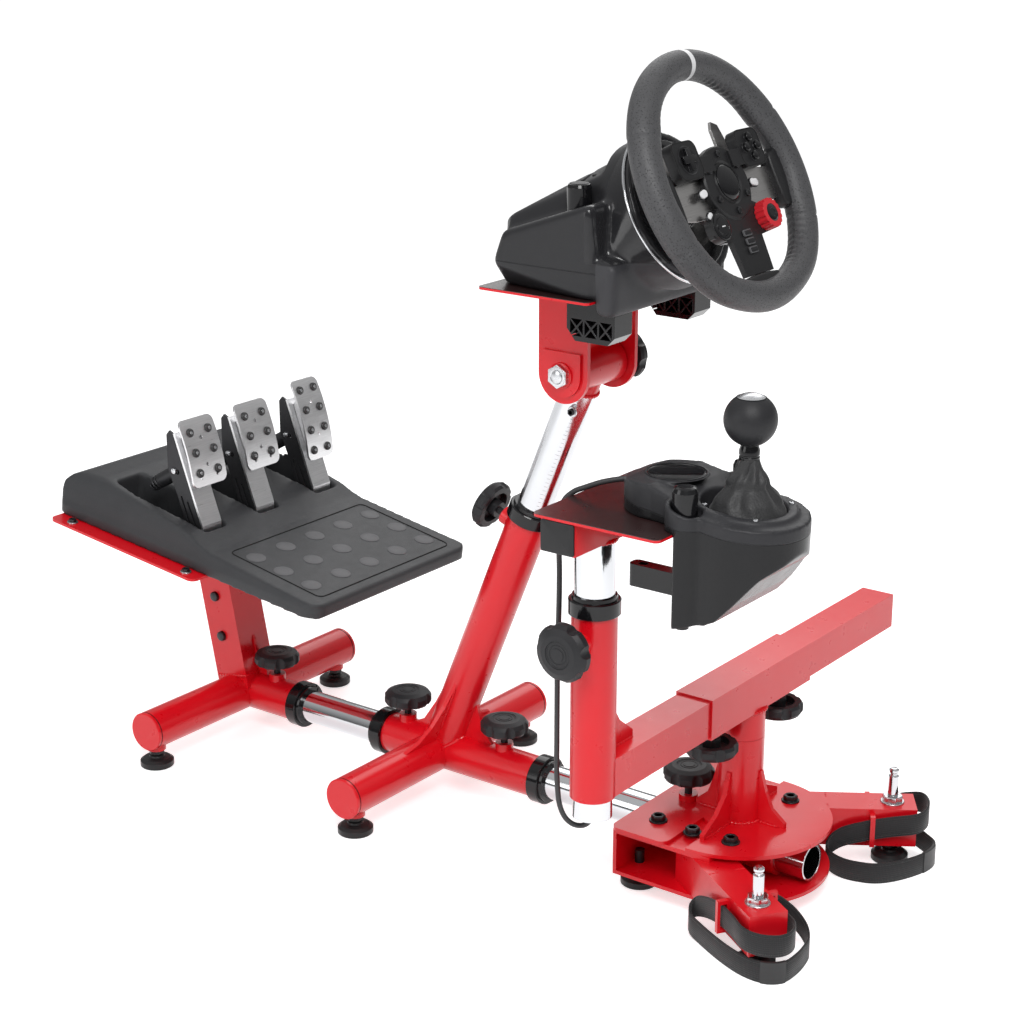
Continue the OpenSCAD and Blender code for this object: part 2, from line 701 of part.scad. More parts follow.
module wheelbase_clamps() {
    jaw_w = 30;
    jaw_top = -plate_t;
    color(black) on_tilt() {
        for (x = [-clamp_x, clamp_x]) translate([x, clamp_y, yoke_rise + clamp_seat]) rotate_extrude($fn = 64)
            polygon([[0, 0], [clamp_r, 0], [clamp_r, 30], [clamp_r - 1.5, 33], [clamp_r - 3, 33.6], [0, 33.6]]);
        for (x = [-clamp_x, clamp_x]) translate([x - jaw_w / 2, -74 - 20, yoke_rise + jaw_top]) difference() {
            translate([0, 0, -42]) rotate([90, 0, 90]) linear_extrude(height = jaw_w)
                polygon([[4, 8], [12, 0], [50, 0], [60, 12], [60, 42], [20, 42], [20, 29.5], [4, 29.5]]);
            for (wall = [-1, jaw_w - 8], col = [0:2]) translate([wall, 7 + col * 17, -37]) rotate([90, 0, 90])
                linear_extrude(height = 9) {
                    polygon([[1, 0], [14, 0], [7.5, 7]]);
                    polygon([[1, 17], [14, 17], [7.5, 10]]);
                    polygon([[0, 1.5], [0, 15.5], [6.2, 8.5]]);
                    polygon([[15, 1.5], [15, 15.5], [8.8, 8.5]]);
                }
        }
    }
}

module tilt_bolt() {
    half = yoke_width / 2 + doubler;
    color(black) on_tilt() rotate([0, 90, 0]) {
        translate([0, 0, -half]) cylinder(h = 2 * half + 2, r = tilt_bolt_d / 2, $fn = 48);
        translate([0, 0, -half - 7]) cylinder(h = 7, r = 10.5, $fn = 6);
        translate([0, 0, half]) cylinder(h = 5, r = 10, $fn = 48);
        translate([0, 0, half + 1]) star_knob(6);
    }
}

module wheel_rim() {
    flange = 22;
    color(black) on_wheel() {
        rotate_extrude($fn = 128) translate([rim_centre, 0]) circle(d = rim_t, $fn = 64);
        for (u = [-1, 1]) translate([u * (spoke_end + flange / 2) - flange / 2, -31, -12]) cube([flange, 46, 14]);
        translate([-27, -rim_centre, -6]) cube([54, rim_centre - 91.5, 8]);
    }
}

module wheel_spokes() {
    color(silver) on_wheel() translate([0, 0, -10]) linear_extrude(height = 4) difference() {
        polygon([[-spoke_end, -24], [-58, -28], [58, -28], [spoke_end, -24], [spoke_end, 8], [50, 11], [-50, 11],
            [-spoke_end, 8]]);
        translate([0, -8]) circle(r = 15, $fn = 64);
    }
}

module hub_pod(side) {
    translate([side * 56, 27, -6]) {
        linear_extrude(height = 11) {
            translate([-21, -18]) rounded(42, 38, 9);
            translate([side > 0 ? -40 : 20, -14]) square([20, 16]);
        }
    }
}

module wheel_hub() {
    color(black) on_wheel() difference() {
        union() {
            translate([0, 0, -6]) rotate_extrude($fn = 96) polygon([[0, 0], [37, 0], [37, 6], [35.5, 8], [22, 8],
                [20, 6.5], [18.5, 6.5], [17, 9], [12, 11], [0, 12]]);
            translate([0, -8, -12]) cylinder(h = 8, r = 15 - pin_gap, $fn = 64);
            translate([0, 0, -30]) cylinder(h = 20, r = 34, $fn = 96);
            translate([-34, -6, -30]) linear_extrude(height = 12) rounded(68, 42, 6);
            translate([0, 0, -90]) cylinder(h = 61, r = shaft_r, $fn = 64);
            for (u = [-1, 1]) hub_pod(u);
            translate([0, 0, -6]) linear_extrude(height = 6)
                polygon([[-26, -20], [-54, -33], [-54, -48], [-40, -55], [-27, -56], [-24, -91.5], [24, -91.5],
                    [27, -56], [40, -55], [54, -48], [54, -33], [26, -20]]);
            translate([-41, -40, -6]) cylinder(h = 10, r = 14, $fn = 64);
            for (k = [0:2]) translate([-6, -54 - k * 8.5, -1]) cube([12, 5.5, 3.5]);
            for (a = [0:90:270]) translate([56, 28, 5]) rotate(a) translate([9.5, 0, 0])
                cylinder(h = 3.5, r = 4.3, $fn = 32);
            translate([-56, 28, 5]) for (a = [0, 90]) rotate(a) translate([-11, -3.6, -1]) cube([22, 7.2, 3.5]);
            for (u = [-1, 1]) translate([u * 46 - 4.5, -9, -6]) cube([9, 7, 6.5]);
            for (u = [-1, 1], v = [ear[1] - 16, ear[1] + 11.3])
                translate([u > 0 ? 26 : -ear[0] - 4.5, v, ear[2] - 4.5]) cube([ear[0] - 21.5, 4.7, 9]);
            for (u = [-1, 1]) translate([u * ear[0], ear[1] - 16, ear[2]]) rotate([-90, 0, 0])
                cylinder(h = 32, r = ear_pin, $fn = 32);
        }
        translate([41, -40, -8]) cylinder(h = 20, r = 3 + pin_gap, $fn = 32);
    }
}

module mode_dial() {
    color([0.8, 0.05, 0.06]) on_wheel() translate([41, -40, 0.3]) {
        difference() {
            cylinder(h = 11, r = 15, $fn = 96);
            for (k = [0:15]) rotate((k + 0.5) * 22.5) translate([16.2, 0, -1]) cylinder(h = 20, r = 2.2, $fn = 24);
            translate([0, 0, 9.8]) cylinder(h = 3, r = 9, $fn = 64);
        }
        translate([0, 0, -6.3]) cylinder(h = 7, r = 3, $fn = 32);
    }
}

// a shift paddle: a barrel on the hub's pin, and a blade that sweeps outwards
module paddle(side) {
    on_wheel() difference() {
        union() {
            translate([side * ear[0], ear[1] - 11, ear[2]]) rotate([-90, 0, 0]) cylinder(h = 22, r = 4.5, $fn = 48);
            translate([0, 0, ear[2] - 1.5]) linear_extrude(height = 3)
                polygon([[side * ear[0], 8], [side * 46, 8], [side * 50, -24], [side * 58, -26], [side * 66, -12],
                    [side * 68, 30], [side * 60, 62], [side * 50, 66], [side * 46, 58], [side * 46, 28],
                    [side * ear[0], 28]]);
        }
        translate([side * ear[0], ear[1] - 20, ear[2]]) rotate([-90, 0, 0])
            cylinder(h = 40, r = ear_pin + pin_gap, $fn = 32);
    }
}

module left_paddle() {
    color(silver) paddle(-1);
}

module right_paddle() {
    color(silver) paddle(1);
}

// the half disc under the swing post, with a straight edge to the front
module half_disc(r, front) {
    intersection() {
        translate([0, post_y + 3]) circle(r = r, $fn = 128);
        translate([-r, post_y - 2 * r]) square([2 * r, 2 * r + front]);
    }
}

// the open-sided box that the spine, the legs and the swing post are fixed to
module base_box() {
    color(red) placed() difference() {
        union() {
            translate([0, 0, floor_top - 4]) linear_extrude(height = 4) {
                half_disc(base_half, 10);
                translate([-base_half, post_y]) square([2 * base_half, 240 - post_y]);
            }
            translate([-base_half, post_y - 24, leg_top]) cube([2 * base_half, 264 - post_y, box_top - leg_top]);
            translate([-base_half, 236, floor_top - 4]) cube([2 * base_half, 4, box_top - floor_top + 4]);
            tube_y(bar_r, 0, 97, 240);
        }
        tube_y(bore_r, 0, 90, 250);
        clamp_hole(rear_knob_y);
        for (x = [-rear_foot[0], rear_foot[0]]) translate([x, rear_foot[1], -axis_height])
            cylinder(h = axis_height, r = 5 + stud_clear, $fn = 32);
    }
}

module base_plate() {
    rim = base_half + 5;
    color(red) placed() translate([0, 0, box_top]) difference() {
        union() {
            linear_extrude(height = plate_top - box_top) {
                translate([-rim, 175]) rounded(2 * rim, 66, 10);
                half_disc(base_half + 1, 4);
                translate([0, post_y]) circle(r = 38, $fn = 96);
            }
            translate([0, rear_knob_y, 0]) cylinder(h = plate_top - box_top + boss_h, r = boss_r, $fn = 48);
        }
        translate([0, rear_knob_y, -1]) cylinder(h = 40, r = stud_r + stud_clear, $fn = 32);
    }
}

// one curved stiffener of the swing post
module post_rib(reach) {
    translate([0, 2.5, plate_top]) rotate([90, 0, 0]) linear_extrude(height = 5)
        polygon([[post_r - 2, 0], [reach, 0], [reach, 5], [(reach + post_r) / 2, 17], [post_r + 8, 34],
            [post_r + 2, 56], [post_r - 2, 56]]);
}

module rear_post() {
    color(red) placed() translate([0, post_y, 0]) {
        translate([0, 0, plate_top]) cylinder(h = post_joint - plate_top, r = post_r, $fn = 96);
        translate([0, 0, post_joint - 1]) cylinder(h = 32, r = 16 - pin_gap, $fn = 64);
        post_rib(73);
        rotate(180) post_rib(73);
        rotate(90) post_rib(51);
        rotate(-90) post_rib(54);
    }
}

// places children on a leg's axis at the distance t from where the two axes meet
module on_leg(side, t) {
    placed() translate([0, 255, (leg_top + floor_top) / 2]) rotate([0, 0, side * leg_splay])
        translate([0, -t, 0]) children();
}

module legs() {
    color(red) for (side = [-1, 1]) {
        difference() {
            on_leg(side, leg_reach) translate([-leg_side / 2, 0, -leg_h / 2]) difference() {
                cube([leg_side, 170, leg_h]);
                translate([3, 3, 3]) cube([leg_side - 6, 200, leg_h - 6]);
            }
            on_leg(side, pin_t) translate([0, 0, -leg_h]) cylinder(h = 2 * leg_h, r = 5 + stud_clear, $fn = 32);
        }
        on_leg(side, staple_t) for (u = [0, 180]) rotate(u) difference() {
            translate([leg_side / 2 - 0.5, -2.5, -17]) rotate([90, 0, 90]) linear_extrude(height = 12.5)
                square([5, 34]);
            translate([leg_side / 2 + 2, -4, -13]) cube([7, 8, 26]);
        }
    }
}

// the pins that stand in for a chair's casters: hex nut, waisted stem and round head
module stem_pins() {
    color(chromed) for (side = [-1, 1]) on_leg(side, pin_t) translate([0, 0, leg_h / 2]) {
        rotate(12) cylinder(h = 8, r = 10.5, $fn = 6);
        translate([0, 0, 8]) cylinder(h = pin_length, r = pin_r, $fn = 64);
        translate([0, 0, 8 + pin_length]) rotate_extrude($fn = 64) polygon([[0, 0], [pin_r, 0], [pin_r - 1.6, 1.5],
            [pin_r - 1.6, 3], [pin_r - 0.2, 4.5], [pin_r - 0.2, 7], [pin_r - 2, 8.6], [0, 8.8]]);
    }
}

// a flat band carried along a closed route, standing on its edge
function lerp_route(pts, n) = [for (i = [0:len(pts) - 1], k = [0:n - 1])
    let (m = len(pts), a = pts[(i + m - 1) % m], b = pts[i], c = pts[(i + 1) % m], d = pts[(i + 2) % m], u = k / n)
    0.5 * (2 * b + (c - a) * u + (2 * a - 5 * b + 4 * c - d) * u * u + (3 * b - a - 3 * c + d) * u * u * u)];

module band(route, w, t) {
    pts = lerp_route(route, 2);
    m = len(pts);
    corners = [for (i = [0:m - 1])
        let (way = pts[(i + 1) % m] - pts[(i + m - 1) % m],
            flat = norm([way[0], way[1]]),
            side = [way[1], -way[0], 0] * t / (2 * flat))
        each [pts[i] + side - [0, 0, w / 2], pts[i] + side + [0, 0, w / 2], pts[i] - side + [0, 0, w / 2],
            pts[i] - side - [0, 0, w / 2]]];
    faces = [for (i = [0:m - 1], k = [0:3])
        [4 * i + k, 4 * i + (k + 1) % 4, 4 * ((i + 1) % m) + (k + 1) % 4, 4 * ((i + 1) % m) + k]];
    polyhedron(corners, faces);
}

module straps() {
    color(black) {
        on_leg(-1, staple_t) band(left_strap, strap_w, strap_t);
        on_leg(1, staple_t) band(right_strap, strap_w, strap_t);
    }
}

module rear_feet() {
    color(black) {
        placed() for (x = [-rear_foot[0], rear_foot[0]]) foot(x, rear_foot[1], floor_top - 4, 18);
        for (side = [-1, 1]) on_leg(side, pin_t) translate([0, 0, -(leg_top + floor_top) / 2])
            foot(0, 0, floor_top, leg_h - 1);
    }
}

module rear_knob() {
    color(black) placed() translate([0, rear_knob_y, spine_r]) star_knob(knob_gap + plate_top - spine_r + 7);
}

module arm_sleeve() {
    low = arm_z - sleeve_side / 2;
    inner = arm_side + 2 * slide_gap;
    color(red) placed() difference() {
        union() {
            translate([sleeve_left, post_y - sleeve_side / 2, low])
                cube([sleeve_right - sleeve_left, sleeve_side, sleeve_side]);
            translate([0, post_y, post_joint + 0.4]) cylinder(h = low - post_joint + 1, r = post_r, $fn = 96);
            for (x = sleeve_knobs_x) translate([x, post_y, low - 5]) cylinder(h = 6, r = boss_r, $fn = 48);
        }
        translate([sleeve_left - 1, post_y - inner / 2, arm_z - inner / 2])
            cube([sleeve_right - sleeve_left + 2, inner, inner]);
        translate([0, post_y, post_joint - 1]) cylinder(h = 40, r = 16, $fn = 64);
        for (x = sleeve_knobs_x) translate([x, post_y, low - 20])
            cylinder(h = 30, r = stud_r + stud_clear, $fn = 32);
    }
}

module sleeve_knobs() {
    color(black) placed() for (x = sleeve_knobs_x)
        translate([x, post_y, post_low]) rotate([180, 0, 0]) star_knob(sleeve_wall + 13);
}

module slide_arm() {
    wall = 2.5;
    color(red) placed() difference() {
        translate([shift_post_x + 4, post_y - arm_side / 2, post_low])
            cube([arm_right - shift_post_x - 4, arm_side, arm_side]);
        translate([shift_post_x, post_y - arm_side / 2 + wall, post_low + wall])
            cube([arm_right - shift_post_x - wall, arm_side - 2 * wall, arm_side - 2 * wall]);
        translate([shift_post_x, post_y, 100]) cylinder(h = 150, r = shift_post_r, $fn = 96);
    }
}

module shifter_post() {
    rib_z = arm_z + arm_side / 2;
    color(red) placed() translate([shift_post_x, post_y, 0]) difference() {
        union() {
            translate([0, 0, post_low]) cylinder(h = post_high - post_low, r = shift_post_r, $fn = 96);
            translate([shift_post_r - 3, 2.5, rib_z]) rotate([90, 0, 0]) linear_extrude(height = 5)
                polygon([[0, 0], [44, 0], [44, 7], [22, 24], [5, 50], [0, 50]]);
            translate([0, 0, post_knob_z]) rotate([0, -90, 0])
                cylinder(h = shift_post_r + boss_h, r = boss_r, $fn = 48);
        }
        translate([0, 0, post_low - 1]) cylinder(h = 260, r = shift_mast_r + slide_gap, $fn = 96);
        translate([0, 0, post_knob_z]) rotate([0, -90, 0]) cylinder(h = 60, r = stud_r + stud_clear, $fn = 32);
    }
}

module post_collar() {
    color(black) placed() translate([shift_post_x, post_y, post_high])
        sleeve_collar(shift_post_r + 3, shift_mast_r + slide_gap);
}

module post_knob() {
    color(black) placed() translate([shift_post_x - shift_mast_r, post_y, post_knob_z]) rotate([0, -90, 0])
        star_knob(knob_gap + shift_post_r - shift_mast_r + 3.5);
}

module shifter_mast() {
    color(chromed) placed() translate([shift_post_x, post_y, mast_low]) difference() {
        cylinder(h = beam_top - beam_h - mast_low, r = shift_mast_r, $fn = 96);
        translate([0, 0, -1]) cylinder(h = 300, r = shift_mast_r - tube_wall, $fn = 96);
    }
}

module shifter_deck() {
    color(red) placed() {
        translate([0, 0, beam_top]) linear_extrude(height = plate_t) difference() {
            translate([-328, 46]) rounded(shift_deck_w, shift_deck_l, 6);
            for (u = [-grip_x, grip_x]) translate([shifter_x + u, lever_y + grip_y])
                circle(r = grip_r + 1, $fn = 48);
        }
        translate([-326, post_y - 18, beam_top - beam_h]) difference() {
            cube([154, 36, beam_h]);
            translate([3, 3, 3]) cube([148, 30, beam_h - 6]);
        }
    }
}

// places children on the deck at the lever, z up from the deck's top
module on_shifter() {
    placed() translate([shifter_x, lever_y, shift_deck_z]) children();
}

module shifter_plan() {
    translate([0, 72]) circle(r = 45, $fn = 96);
    circle(r = bowl_r, $fn = 96);
    polygon([[-45, 68], [45, 68], [52, 24], [-52, 24]]);
    for (u = [-grip_x, grip_x]) translate([u, grip_y]) circle(r = 17, $fn = 48);
}

// the moulded body: its plan, met by its side profile and hollowed for the lever
module shifter_body() {
    color(black) on_shifter() difference() {
        union() {
            intersection() {
                translate([0, 0, -90]) linear_extrude(height = 140) shifter_plan();
                translate([-100, 0, 0]) rotate([90, 0, 90]) linear_extrude(height = 200)
                    polygon([[120, 0], [120, 22], [112, 28], [100, 31], [72, 31.5], [50, 26], [22, 15], [-57, 8],
                        [-60, 2], [-60, -14], [-52, -26], [-38, -38], [-20, -62], [-4, -80], [6, -85], [33.6, -85],
                        [33.6, 0]]);
            }
            translate([0, 72, 31]) rotate_extrude($fn = 96) polygon([[0, 0], [30, 0], [29, 1.6], [27, 1.6],
                [26, 0.8], [0, 0.8]]);
            translate([0, 0, 13]) rotate([5, 0, 0]) rotate_extrude($fn = 96)
                polygon([[40, -4], [52, -4], [52, 2.5], [50.5, 4], [42, 4], [40, 2.5]]);
        }
        translate([0, 0, 3]) cylinder(h = 40, r = 40, $fn = 96);
        translate([0, 0, -26]) cylinder(h = 40, r = well_r, $fn = 96);
        translate([0, 0, -38]) cylinder(h = 40, r = 20, $fn = 64);
        for (u = [-grip_x, grip_x]) translate([u, grip_y, 0]) {
            translate([0, 0, 10]) cylinder(h = 40, r = 12.5, $fn = 64);
            translate([0, 0, -100]) cylinder(h = 120, r = grip_r + pin_gap, $fn = 32);
            translate([-8, -10, -66]) cube([16, 60, 36]);
        }
        for (side = [-1, 1]) translate([0, 0, -pivot_drop]) rotate([90, 0, 0])
            translate([0, 0, side * (well_r + 1.5) - 2.5]) cylinder(h = 5, r = 3 + pin_gap, $fn = 32);
    }
}

// two screws through the body, each with its knob above and its jaw under the deck
module shifter_clamp() {
    color(black) on_shifter() for (u = [-grip_x, grip_x]) translate([u, grip_y, 0]) {
        translate([0, 0, -88]) cylinder(h = 110, r = grip_r, $fn = 32);
        translate([0, 0, 10]) rotate_extrude($fn = 64)
            polygon([[0, 0], [11, 0], [11, 24], [9.5, 27.5], [7, 28.6], [0, 28.6]]);
        difference() {
            translate([-7, -8, -58]) linear_extrude(height = 20) rounded(14, 60, 5);
            translate([0, 40, -60]) cylinder(h = 30, r = 4, $fn = 32);
        }
    }
}

// the ring that rocks on the body's pins and carries the lever's own pin
module shift_gimbal() {
    color(silver) on_shifter() translate([0, 0, -pivot_drop]) difference() {
        union() {
            translate([0, 0, -5]) cylinder(h = 10, r = ring_r, $fn = 64);
            rotate([90, 0, 0]) translate([0, 0, -well_r - 3.5]) cylinder(h = 2 * well_r + 7, r = 3, $fn = 32);
        }
        translate([0, 0, -7]) cylinder(h = 14, r = ring_r - 7, $fn = 64);
        rotate([0, 90, 0]) translate([0, 0, -40]) cylinder(h = 80, r = 2.5 + pin_gap, $fn = 32);
    }
}

module gear_lever() {
    color(black) on_shifter() {
        translate([0, 0, -pivot_drop - 18]) cylinder(h = ball_z + pivot_drop, r = 6, $fn = 48);
        translate([0, 0, -pivot_drop]) sphere(r = 9, $fn = 48);
        translate([-ring_r, 0, -pivot_drop]) rotate([0, 90, 0]) cylinder(h = 2 * ring_r, r = 2.5, $fn = 32);
        translate([0, 0, 58]) cylinder(h = 10, r = 8, $fn = 48);
        translate([0, 0, ball_z]) sphere(r = ball_d / 2, $fn = 64);
    }
}

// the gaiter: a soft closed skin from its ring up to the lever's collar
module boot() {
    color(black) on_shifter() translate([0, 0, 8]) rotate_extrude($fn = 48)
        polygon([[39.7, 0], [39.7, 2], [37, 8], [30, 22], [20, 38], [13, 48], [8.4, 50], [8.4, 47.5],
            [12, 45], [18, 36], [28, 20], [35, 6], [36.5, 0]]);
}

// a round cord swept along its route's points
function tangent(p, i) = let (a = p[max(i - 1, 0)], b = p[min(i + 1, len(p) - 1)]) (b - a) / norm(b - a);

function ring(c, way, r, n) = let (u0 = cross(way, [1, 0, 0]), u = u0 / norm(u0), v = cross(way, u))
    [for (k = [0:n - 1]) c + r * (cos(k * 360 / n) * u + sin(k * 360 / n) * v)];

module cord(path, d, sides = 8) {
    m = len(path);
    points = [for (i = [0:m - 1]) each ring(path[i], tangent(path, i), d / 2, sides)];
    skin = [for (i = [0:m - 2], k = [0:sides - 1])
        [sides * i + k, sides * i + (k + 1) % sides, sides * (i + 1) + (k + 1) % sides, sides * (i + 1) + k]];
    lids = [[for (k = [sides - 1:-1:0]) k], [for (k = [0:sides - 1]) sides * (m - 1) + k]];
    polyhedron(points, concat(skin, lids));
}

module shifter_lead() {
    color(black) placed() cord(lead_route, lead_d);
}

spine_tube();
front_crossbar();
front_feet();
front_collar();
front_knob();
pedal_stem();
pedal_plate();
pedal_base();
clutch_arm();
clutch_face();
brake_arm();
brake_face();
throttle_arm();
throttle_face();
mid_crossbar();
mid_feet();
mid_collars();
mid_knobs();
column_tube();
column_mast();
mast_head();
yoke();
wheel_deck();
wheelbase();
wheelbase_clamps();
tilt_bolt();
wheel_rim();
wheel_spokes();
wheel_hub();
mode_dial();
left_paddle();
right_paddle();
base_box();
base_plate();
rear_post();
legs();
stem_pins();
straps();
rear_feet();
rear_knob();
arm_sleeve();
sleeve_knobs();
slide_arm();
shifter_post();
post_collar();
post_knob();
shifter_mast();
shifter_deck();
shifter_body();
shifter_clamp();
shift_gimbal();
gear_lever();
boot();
shifter_lead();
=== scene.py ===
import math

import bpy
import numpy as np
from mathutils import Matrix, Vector


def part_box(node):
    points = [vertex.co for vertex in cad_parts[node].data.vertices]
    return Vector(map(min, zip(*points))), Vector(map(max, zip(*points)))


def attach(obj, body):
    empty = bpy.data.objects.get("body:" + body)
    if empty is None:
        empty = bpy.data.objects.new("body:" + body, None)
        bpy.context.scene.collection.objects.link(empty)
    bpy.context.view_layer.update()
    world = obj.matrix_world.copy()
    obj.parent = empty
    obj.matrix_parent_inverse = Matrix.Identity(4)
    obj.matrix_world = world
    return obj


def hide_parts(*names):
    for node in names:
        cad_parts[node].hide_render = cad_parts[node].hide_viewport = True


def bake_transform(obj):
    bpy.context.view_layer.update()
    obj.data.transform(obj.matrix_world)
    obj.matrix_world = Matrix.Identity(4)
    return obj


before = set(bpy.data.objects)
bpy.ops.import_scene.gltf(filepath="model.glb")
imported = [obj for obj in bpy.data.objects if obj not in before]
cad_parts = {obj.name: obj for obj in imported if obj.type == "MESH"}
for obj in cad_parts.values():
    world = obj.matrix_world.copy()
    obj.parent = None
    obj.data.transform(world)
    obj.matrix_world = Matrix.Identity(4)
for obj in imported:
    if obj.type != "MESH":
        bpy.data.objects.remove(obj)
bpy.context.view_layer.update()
print("stage: frame loaded,", len(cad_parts), "solids")

# Places are in millimetres from the stand's datum: x from the spine's axis, y as in the CAD
# part, z from the spine's axis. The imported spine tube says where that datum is.
spineLow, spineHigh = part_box("spine_tube")
spineRear = 0.0629
datum = np.array(((spineLow.x + spineHigh.x) / 2, spineLow.y - spineRear, (spineLow.z + spineHigh.z) / 2))
floorZ = -46.0


def wave(degrees):
    angle = np.radians(degrees)
    return np.cos(angle), np.sin(angle)


class Spot:
    # a local frame in millimetres: its origin, and the ways that its own x, y and z point
    def __init__(self, origin, ways=((1, 0, 0), (0, 1, 0), (0, 0, 1))):
        self.origin = np.array(origin, float)
        self.ways = np.array(ways, float)

    def __call__(self, points):
        return (self.origin + np.asarray(points, float) @ self.ways) / 1000 + datum

    def at(self, x, y, z):
        return Spot(self.origin + np.array((x, y, z), float) @ self.ways, self.ways)

    def turned(self, axis, degrees):
        c, s = wave(degrees)
        turn = {
            "x": ((1, 0, 0), (0, c, s), (0, -s, c)),
            "y": ((c, 0, -s), (0, 1, 0), (s, 0, c)),
            "z": ((c, s, 0), (-s, c, 0), (0, 0, 1)),
        }[axis]
        return Spot(self.origin, np.array(turn, float) @ self.ways)


def leaning(origin, degrees):
    return Spot(origin).turned("x", degrees)


columnLean = 22.5
postY, armX = 148.9, -268.8
tiltPlace = (0, 540.9 - 514 * math.sin(math.radians(columnLean)), 514 * math.cos(math.radians(columnLean)))
floor = Spot((0, 0, 0))
pedals = leaning((0, 611.8, 173.9), 7.1)
stem = leaning((0, 841.5, 0), -11.3)
column = leaning((0, 540.9, 0), columnLean)
tilt = Spot(tiltPlace)
deck = tilt.at(0, 0, 94.1)
wheel = leaning((0, tiltPlace[1] - 156.5, tiltPlace[2] + 201.9), 90 - 27.1)
shifter = Spot((-241, 12, 435))


def leg(side, along):
    return Spot((0, 255, -1)).turned("z", side * 33.5).at(0, -along, 0)


camera = {
    # place in mm from the datum, the way it looks in degrees, and the lens in mm for a 36 mm sensor
    "place": (-1750.2, -864.2, 1000.8),
    "azimuth": 53.28,
    "elevation": 17.79,
    "lens": 75.34,
}


def intoScene(name, data):
    made = bpy.data.objects.new(name, data)
    bpy.context.scene.collection.objects.link(made)
    return made


def setCamera():
    data = bpy.data.cameras.new("camera")
    data.lens = camera["lens"]
    data.sensor_width = 36
    data.clip_end = 80
    cam = intoScene("camera", data)
    cam.location = Vector(floor(camera["place"]))
    across, along = math.radians(camera["azimuth"]), math.radians(camera["elevation"])
    gaze = Vector((math.cos(along) * math.sin(across), math.cos(along) * math.cos(across), -math.sin(along)))
    cam.rotation_euler = gaze.to_track_quat("-Z", "Y").to_euler()
    bpy.context.scene.camera = cam


setCamera()
print("stage: camera set")


# Finishes: each is a formula of texture over place, fed to a plain shader.
socketNames = {
    "metallic": "Metallic",
    "coat": "Coat Weight",
    "coatRoughness": "Coat Roughness",
    "specular": "Specular IOR Level",
    "sheen": "Sheen Weight",
    "sheenRoughness": "Sheen Roughness",
}


class Tone:
    # one socket of a graph, so that a look reads as a formula
    def __init__(self, graph, socket):
        self.graph, self.socket = graph, socket

    def __add__(self, other):
        return self.graph.sum("ADD", self, other)

    def __radd__(self, other):
        return self.graph.sum("ADD", other, self)

    def __sub__(self, other):
        return self.graph.sum("SUBTRACT", self, other)

    def __rsub__(self, other):
        return self.graph.sum("SUBTRACT", other, self)

    def __mul__(self, other):
        return self.graph.sum("MULTIPLY", self, other)

    def __rmul__(self, other):
        return self.graph.sum("MULTIPLY", other, self)

    def __gt__(self, other):
        return self.graph.sum("GREATER_THAN", self, other)

    def __lt__(self, other):
        return self.graph.sum("LESS_THAN", self, other)

    def __abs__(self):
        return self.graph.sum("ABSOLUTE", self)


class Graph:
    # the nodes of a material or of the world
    def __init__(self, owner):
        owner.use_nodes = True
        self.tree = owner.node_tree

    def node(self, kind, inputs=(), out=0, **settings):
        made = self.tree.nodes.new("ShaderNode" + kind)
        for key, value in settings.items():
            setattr(made, key, value)
        for key, value in dict(inputs).items():
            if isinstance(value, Tone):
                self.tree.links.new(value.socket, made.inputs[key])
            else:
                made.inputs[key].default_value = value
        return Tone(self, made.outputs[out])

    def sum(self, kind, *terms):
        return self.node("Math", dict(enumerate(terms)), operation=kind)


class Finish(Graph):
    def __init__(self, name, colour, roughness, softEdge=0.0, **fixed):
        self.colour, self.roughness = colour, roughness
        self.material = bpy.data.materials.new(name)
        super().__init__(self.material)
        self.shader = self.tree.nodes["Principled BSDF"]
        self.shader.inputs["Base Color"].default_value = (*colour, 1)
        self.shader.inputs["Roughness"].default_value = roughness
        for key, value in fixed.items():
            self.shader.inputs[socketNames[key]].default_value = value
        self.place = self.node("TexCoord", out="Object")
        self.edge = self.node("Bevel", {"Radius": softEdge}, samples=4) if softEdge else None

    def feed(self, name, tone):
        self.tree.links.new(tone.socket, self.shader.inputs[name])

    def stretched(self, x, y, z):
        return self.node("Mapping", {"Vector": self.place, "Scale": (x, y, z)})

    def grain(self, scale, detail=2.0, place=None):
        inputs = {"Vector": place or self.place, "Scale": scale, "Detail": detail}
        return self.node("TexNoise", inputs)

    def cells(self, scale):
        return self.node("TexVoronoi", {"Vector": self.place, "Scale": scale})

    def axis(self, name):
        return self.node("SeparateXYZ", {"Vector": self.place}, out=name.upper())

    def uv(self, name):
        where = self.node("UVMap", uv_map="lay")
        return self.node("SeparateXYZ", {"Vector": where}, out=name.upper())

    def between(self, tone, low, high, soft=0.0002):
        # 1 where the tone lies between two values, with a soft step at each
        rise = self.node("MapRange", {"Value": tone, "From Min": low - soft, "From Max": low + soft})
        fall = self.node("MapRange", {"Value": tone, "From Min": high - soft, "From Max": high + soft})
        return rise * (1 - fall)

    def mix(self, share, first, second):
        # a colour between two, each a tone or three numbers; inputs 6 and 7 are the node's A and B
        ends = [end if isinstance(end, Tone) else (*end, 1) for end in (first, second)]
        return self.node("Mix", {0: share, 6: ends[0], 7: ends[1]}, out=2, data_type="RGBA")

    def tint(self, share, first, second):
        self.feed("Base Color", self.mix(share, first, second))

    def shades(self, share, low, high):
        # the finish's own colour, between a darker and a paler share of it
        self.tint(share, shade(self.colour, low), shade(self.colour, high))

    def uneven(self, scale, detail, by):
        # the finish's own roughness, a little more and less from place to place
        self.feed("Roughness", self.roughness + (self.grain(scale, detail) - 0.5) * by)

    def relief(self, height, depth, strength=1.0):
        inputs = {"Height": height, "Distance": depth, "Strength": strength}
        if self.edge:
            inputs["Normal"] = self.edge
        self.feed("Normal", self.node("Bump", inputs))


def shade(colour, by):
    return tuple(min(1.0, c * by) for c in colour)


